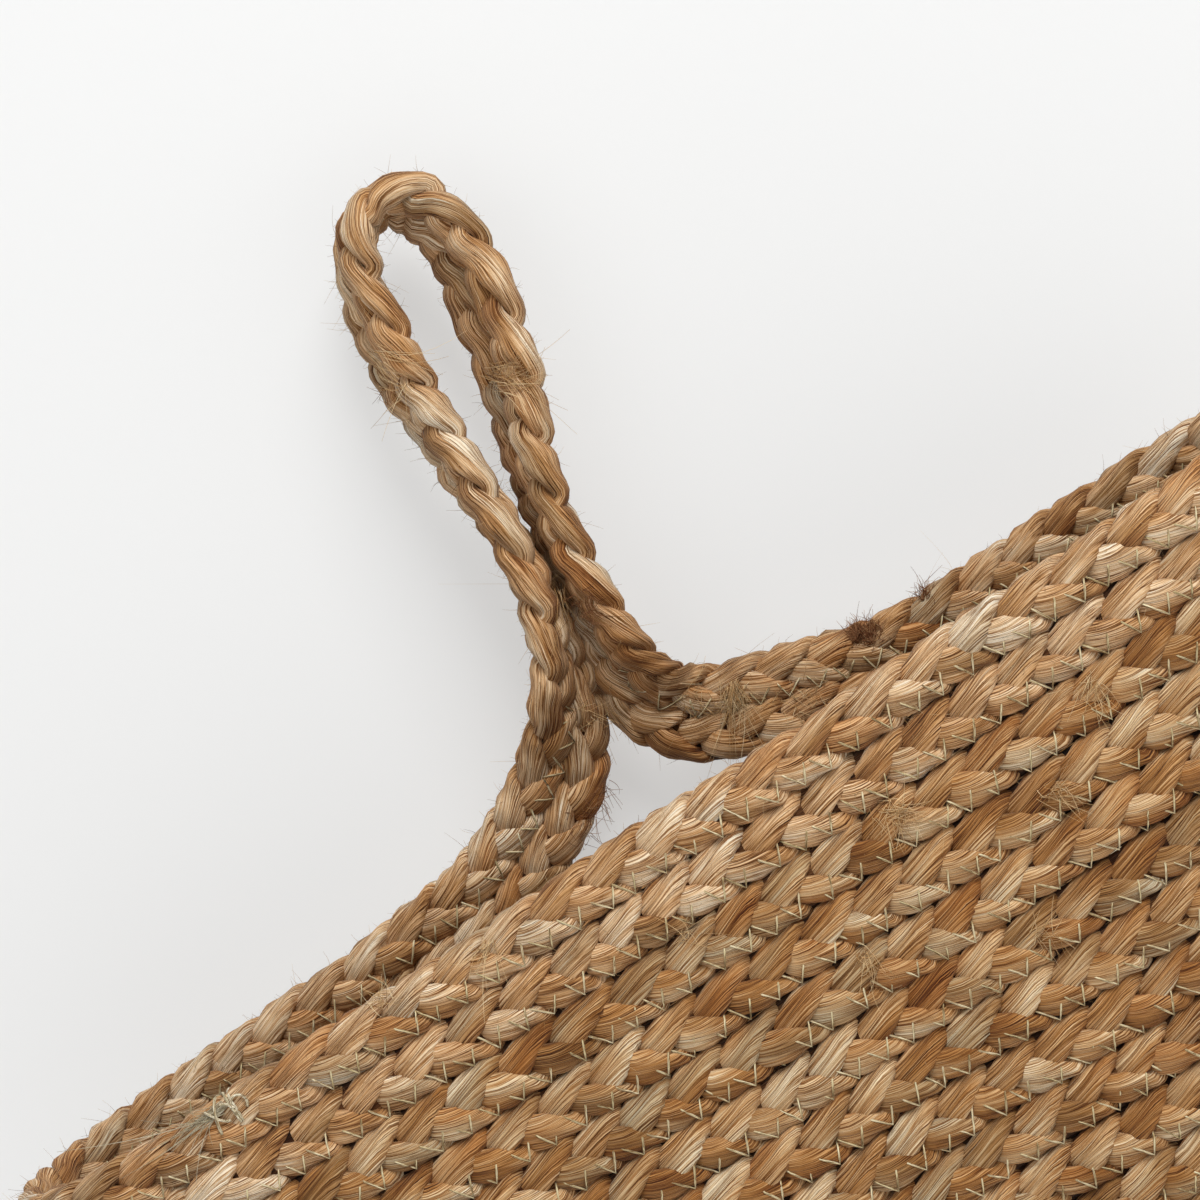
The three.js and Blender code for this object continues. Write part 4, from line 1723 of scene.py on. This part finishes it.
@dataclass
class Base:
    """The flat base: a straight core and closed turns round it, sewn edge to edge."""

    sizes: FrameSizes
    shape: BraidShape
    finishes: Finishes
    zigzag: Zigzag
    seam_half_width: float = 11.0 * MM
    core_points: int = 60
    core_filling_stride: int = 6
    seed: int = 5

    def core_route(self) -> Route:
        """Lay the core's braid straight along the base's middle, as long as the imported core.

        Returns:
            Its open route.
        """
        low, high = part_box("base_core")
        x = np.linspace(low.x, high.x, self.core_points)
        place = np.stack([x, 0.0 * x, 0.0 * x + self.sizes.thickness / 2.0], axis=-1)
        across = np.broadcast_to([0.0, 1.0, 0.0], place.shape).copy()
        up = np.broadcast_to([0.0, 0.0, 1.0], place.shape).copy()
        return Route(place, across, up, closed=False)

    def build(self) -> None:
        """Make the core, the turns and the stitches between them."""
        rng = np.random.default_rng([self.seed, 0])
        core = Braid.plait("base_core_braid", self.core_route(), self.shape, rng)
        on_basket(core.dress(self.finishes.braid, BASE_LANES_FROM), Slot.BRAID, "base_core")
        braids = []
        for turn in range(1, self.sizes.base_turns + 1):
            rng = np.random.default_rng([self.seed, turn])
            oval = Oval(self.sizes.half_straight, turn * self.sizes.pitch)
            braid = Braid.plait(f"base_braid_{turn}", oval.flat_route(self.sizes.thickness / 2.0),
                                self.shape, rng)
            lane = BASE_LANES_FROM + BRAID_LANE * turn
            on_basket(braid.dress(self.finishes.braid, lane), Slot.BRAID, f"base_turn_{turn}")
            edge = -self.sizes.pitch / 2.0
            threads = np.concatenate([self.zigzag.sew(braid, edge, face, rng) for face in Face])
            piece = self.zigzag.dress(f"base_stitches_{turn}", threads, self.finishes.thread)
            on_basket(piece, Slot.THREAD, f"base_thread_{turn}")
            braids.append(braid)
        self.fill(core, braids)

    def fill(self, core: Braid, braids: Sequence[Braid]) -> None:
        """Close the base's seams, and the one between the base and the wall, with packed fibre.

        Args:
            core: the straight core.
            braids: the turns round it.
        """
        # The fillings take the near-black core finish: painted shade in the seams.
        on_basket(seam_filling("base_seam_filling", braids, self.seam_half_width, self.shape,
                               self.finishes.heart), Slot.BRAID)
        along = core.route.distances()[::self.core_filling_stride]
        points = oval_tube(core.route, along, self.seam_half_width, self.shape.seam_half_thickness)
        skin = tube_skin(points[None], along[None], np.array([CORE_FILLING_LANE]), closed=False)
        on_basket(skin.piece("base_core_filling", self.finishes.heart), Slot.BRAID)


@dataclass
class Tail:
    """The coil's tail: frayed yarn along the front rim, tied down by a few turns and a loop of yarn.

    slants says how far each turn leans along the rim, in millimetres.
    """

    sizes: FrameSizes
    finishes: Finishes
    turns: int = 3
    spacing: float = 2.3 * MM
    reach_down: float = 8.0 * MM
    yarn_radius: float = 0.4 * MM
    yarn_sides: int = 8
    slants: tuple[float, ...] = (2.6, -1.5, 1.0)
    wobble: float = 0.35 * MM
    flat_top: float = 0.12
    loop_radius: float = 2.3 * MM
    loop_sweep: float = 2.5
    feel: float = 2.2 * MM
    frayed_radius: float = 0.15 * MM
    points: int = 25
    seed: int = 303

    def over_rim(self, middle_x: float, rng: np.random.Generator) -> Array:
        """Pass turns of yarn over the rim.

        Each turn is a long arch: straight up the outer face, over the edge and down the inner face.

        Args:
            middle_x: where along the rim they lie.
            rng: the source of the hand's unevenness.

        Returns:
            Their middle lines, one for each turn.
        """
        bend = self.sizes.thickness / 2.0 + self.yarn_radius
        top = self.sizes.rim + self.yarn_radius
        t = np.linspace(-1.0, 1.0, self.points)
        arch = np.clip(np.abs(t) * 2.2, 0.0, 1.0) ** 1.4
        y = -self.sizes.middle_radius() + np.sign(t) * bend * np.sin(0.5 * math.pi * arch)
        down = np.clip((np.abs(t) - self.flat_top) / (1.0 - self.flat_top), 0.0, 1.0) ** 1.15
        z = top - (self.reach_down + self.yarn_radius) * down
        start = (np.arange(self.turns) - 0.5 * (self.turns - 1)) * self.spacing
        slant = np.array(self.slants) * MM
        wobble = self.wobble * np.sin(4.0 * t + rng.uniform(0.0, TURN, (self.turns, 1)))
        x = middle_x + start[:, None] + slant[:, None] * t + wobble
        return np.stack([x, y + 0.0 * x, z + 0.0 * x], axis=-1)

    def ties(self, middle_x: float, cloud: Array) -> Array:
        """Lay a loop and two loose ends over the outer face, a yarn's radius off the strands.

        The loop is an arc of a circle, open at the bottom. The ends are short bowed lines.

        Args:
            middle_x: where along the rim the turns lie.
            cloud: the rim's points along the front.

        Returns:
            Their middle lines.
        """
        t = np.linspace(-1.0, 1.0, self.points)
        turned = 0.5 * math.pi + self.loop_sweep * t
        rim = self.sizes.rim
        x = np.stack([
            middle_x + 3.2 * MM + self.loop_radius * np.cos(turned),
            middle_x - 2.4 * MM * (t + 1.0) - 1.0 * MM,
            middle_x + 1.6 * MM - 1.5 * MM * (t + 1.0),
        ])
        z = np.stack([
            rim - 3.4 * MM + self.loop_radius * np.sin(turned),
            rim - 6.0 * MM + 1.4 * MM * (t + 1.0) ** 2,
            rim - 3.0 * MM + 1.3 * MM * (t + 1.0) - 0.8 * MM * t * t,
        ])
        depth = np.minimum(depth_over(cloud, x, z, self.feel), -self.sizes.middle_radius())
        depth = 0.5 * (depth + depth.min(axis=1, keepdims=True))
        return np.stack([x, depth - self.yarn_radius, z], axis=-1)

    def build(self, rim: Braid) -> None:
        """Make the tail and what ties it down.

        Args:
            rim: the rim's braid.
        """
        low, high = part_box("tail_whipping")
        middle_x = (low.x + high.x) / 2.0
        cloud = cloud_of((rim,), True)
        rng = np.random.default_rng(self.seed)
        lines = np.concatenate([self.over_rim(middle_x, rng), self.ties(middle_x, cloud)])
        tubes = round_tubes(lines, np.full(lines.shape[:2], self.yarn_radius), self.yarn_sides)
        on_basket(tube_piece("tail_whipping_yarn", tubes, self.finishes.yarn), Slot.YARN, "tail_whipping")
        tuft = Tuft(middle_x / MM - 1.0, -1.8, 1.2, 13.0, 34, 184.0, 6.0, 0.6)
        fibres = Fraying(radius=self.frayed_radius).lay((tuft,), cloud, self.sizes.rim, rng)
        on_basket(tube_piece("tail_frayed_end", fibres, self.finishes.yarn), Slot.YARN)


@dataclass(frozen=True)
class StudioFinish:
    """The pale floor and backdrop.

    The camera and clear or glossy surfaces see part of the paper as an even pale grey, so that it is
    as flat as a photograph's backdrop and still holds the basket's shadow. A paper that passes light
    doesn't keep the room's even light from what stands in front of it.
    """

    name: str
    passes_light: bool
    colour: str = "#ededec"
    roughness: float = 0.9
    even_share: float = 0.56

    def material(self) -> bpy.types.Material:
        """Build a matt material that is clear from behind, so that the wall hides nothing.

        Returns:
            The material.
        """
        made = bpy.data.materials.new(self.name)
        made.use_nodes = True
        nodes, links = made.node_tree.nodes, made.node_tree.links
        shader = nodes["Principled BSDF"]
        shader.inputs["Base Color"].default_value = linear(self.colour)
        shader.inputs["Roughness"].default_value = self.roughness
        shader.inputs["Specular IOR Level"].default_value = 0.0
        glow = nodes.new("ShaderNodeEmission")
        glow.inputs["Color"].default_value = linear(self.colour)
        rays = nodes.new("ShaderNodeLightPath")
        seen = rays.outputs["Is Camera Ray"]
        for other in ("Is Glossy Ray", "Is Transmission Ray"):
            either = nodes.new("ShaderNodeMath")
            either.operation = "MAXIMUM"
            links.new(seen, either.inputs[0])
            links.new(rays.outputs[other], either.inputs[1])
            seen = either.outputs[0]
        share = nodes.new("ShaderNodeMath")
        share.operation = "MULTIPLY"
        share.inputs[1].default_value = self.even_share
        links.new(seen, share.inputs[0])
        paper = nodes.new("ShaderNodeMixShader")
        links.new(share.outputs[0], paper.inputs["Fac"])
        links.new(shader.outputs["BSDF"], paper.inputs[1])
        links.new(glow.outputs["Emission"], paper.inputs[2])
        clear = nodes.new("ShaderNodeBsdfTransparent")
        unseen = nodes.new("ShaderNodeNewGeometry").outputs["Backfacing"]
        for other in ("Is Diffuse Ray", "Is Shadow Ray") if self.passes_light else ():
            either = nodes.new("ShaderNodeMath")
            either.operation = "MAXIMUM"
            links.new(unseen, either.inputs[0])
            links.new(rays.outputs[other], either.inputs[1])
            unseen = either.outputs[0]
        mix = nodes.new("ShaderNodeMixShader")
        links.new(unseen, mix.inputs["Fac"])
        links.new(paper.outputs["Shader"], mix.inputs[1])
        links.new(clear.outputs["BSDF"], mix.inputs[2])
        links.new(mix.outputs["Shader"], nodes["Material Output"].inputs["Surface"])
        return made


@dataclass(frozen=True)
class SoftLight:
    """A square soft light: its name, its place and side in metres, and its power in watts."""

    name: str
    place: tuple[float, float, float]
    size: float
    power: float


@dataclass
class Studio:
    """The floor, the wall behind the basket, the soft lights and the camera."""

    sizes: FrameSizes
    lights: tuple[SoftLight, ...] = (
        SoftLight("key_light", (0.72, -0.95, 1.42), size=0.85, power=23.0),
        SoftLight("fill_light", (-0.9, -1.5, 0.9), size=1.2, power=5.0),
    )
    sky_colour: tuple[float, ...] = (0.93, 0.95, 0.98, 1.0)
    sky_strength: float = 0.5
    paper_half: float = 3.0
    camera_distance: float = 1000.0 * MM
    camera_over_rim: float = 132.4 * MM
    aim_x: float = 13.0 * MM
    aim_over_rim: float = 56.4 * MM
    roll_degrees: float = 33.0
    frame_width: float = 315.6 * MM
    sensor: float = 36.0
    wall_gap: float = 14.0 * MM

    def build(self) -> None:
        """Set up everything that isn't part of the basket."""
        self.sheet("studio_floor", StudioFinish("floor_paper", False).material(), Matrix.Identity(4))
        wall = Matrix.Translation((0.0, self.sizes.outer_radius + self.wall_gap, 0.0))
        self.sheet("studio_wall", StudioFinish("wall_paper", True).material(),
                   wall @ Matrix.Rotation(math.pi / 2.0, 4, "X"))
        for light in self.lights:
            self.light(light)
        self.world()
        self.camera()

    def sheet(self, name: str, paper: bpy.types.Material, place: Matrix) -> None:
        """Make a large flat sheet, facing its own +Z.

        Args:
            name: its name.
            paper: its material.
            place: where it stands.
        """
        half = self.paper_half
        mesh = bpy.data.meshes.new(name)
        corners = [(-half, -half, 0.0), (half, -half, 0.0), (half, half, 0.0), (-half, half, 0.0)]
        mesh.from_pydata([place @ Vector(c) for c in corners], [], [(0, 1, 2, 3)])
        mesh.materials.append(paper)
        made = bpy.data.objects.new(name, mesh)
        bpy.context.scene.collection.objects.link(made)

    def light(self, light: SoftLight) -> None:
        """Hang a soft light that faces the rim.

        Args:
            light: its name, place, side and power.
        """
        data = bpy.data.lights.new(light.name, "AREA")
        data.shape = "SQUARE"
        data.size = light.size
        data.energy = light.power
        lamp = bpy.data.objects.new(light.name, data)
        lamp.location = light.place
        aim = Vector((0.0, 0.0, self.sizes.rim)) - Vector(light.place)
        lamp.rotation_mode = "QUATERNION"
        lamp.rotation_quaternion = aim.to_track_quat("-Z", "Y")
        bpy.context.scene.collection.objects.link(lamp)

    def world(self) -> None:
        """Light everything evenly from all round with a pale sky colour."""
        world = bpy.data.worlds.new("studio_world")
        world.use_nodes = True
        back = world.node_tree.nodes["Background"]
        back.inputs["Color"].default_value = self.sky_colour
        back.inputs["Strength"].default_value = self.sky_strength
        bpy.context.scene.world = world

    def camera(self) -> None:
        """Place the camera as the photograph's: level with the loop and rolled about its axis."""
        front = -self.sizes.outer_radius
        eye = Vector((self.aim_x, front - self.camera_distance, self.sizes.rim + self.camera_over_rim))
        target = Vector((self.aim_x, front, self.sizes.rim + self.aim_over_rim))
        forward = (target - eye).normalized()
        side = forward.cross(Vector((0.0, 0.0, 1.0))).normalized()
        upright = side.cross(forward)
        roll = math.radians(self.roll_degrees)
        right = side * math.cos(roll) - upright * math.sin(roll)
        up = side * math.sin(roll) + upright * math.cos(roll)
        data = bpy.data.cameras.new("camera")
        data.sensor_width = self.sensor
        data.lens = self.sensor * self.camera_distance / self.frame_width
        made = bpy.data.objects.new("camera", data)
        made.matrix_world = Matrix(
            ((right.x, up.x, -forward.x, eye.x), (right.y, up.y, -forward.y, eye.y),
             (right.z, up.z, -forward.z, eye.z), (0.0, 0.0, 0.0, 1.0))
        )
        bpy.context.scene.collection.objects.link(made)
        bpy.context.scene.camera = made


def main() -> None:
    logging.basicConfig(level=logging.INFO, format="%(message)s")
    bpy.context.scene.view_settings.view_transform = "Standard"
    sizes = FrameSizes.read()
    shape = BraidShape()
    finishes = Finishes.make()
    zigzag = Zigzag()
    settle = Settle()
    Studio(sizes).build()
    Base(sizes, shape, finishes, zigzag).build()
    Wall(sizes, shape, finishes, zigzag, settle).build()
    band_shape = replace(shape, rings_per_period=32)
    rim = Band(sizes, band_shape, finishes, zigzag, LoopLine(), settle).build()
    Tail(sizes, finishes).build(rim)


if __name__ == "__main__":
    main()
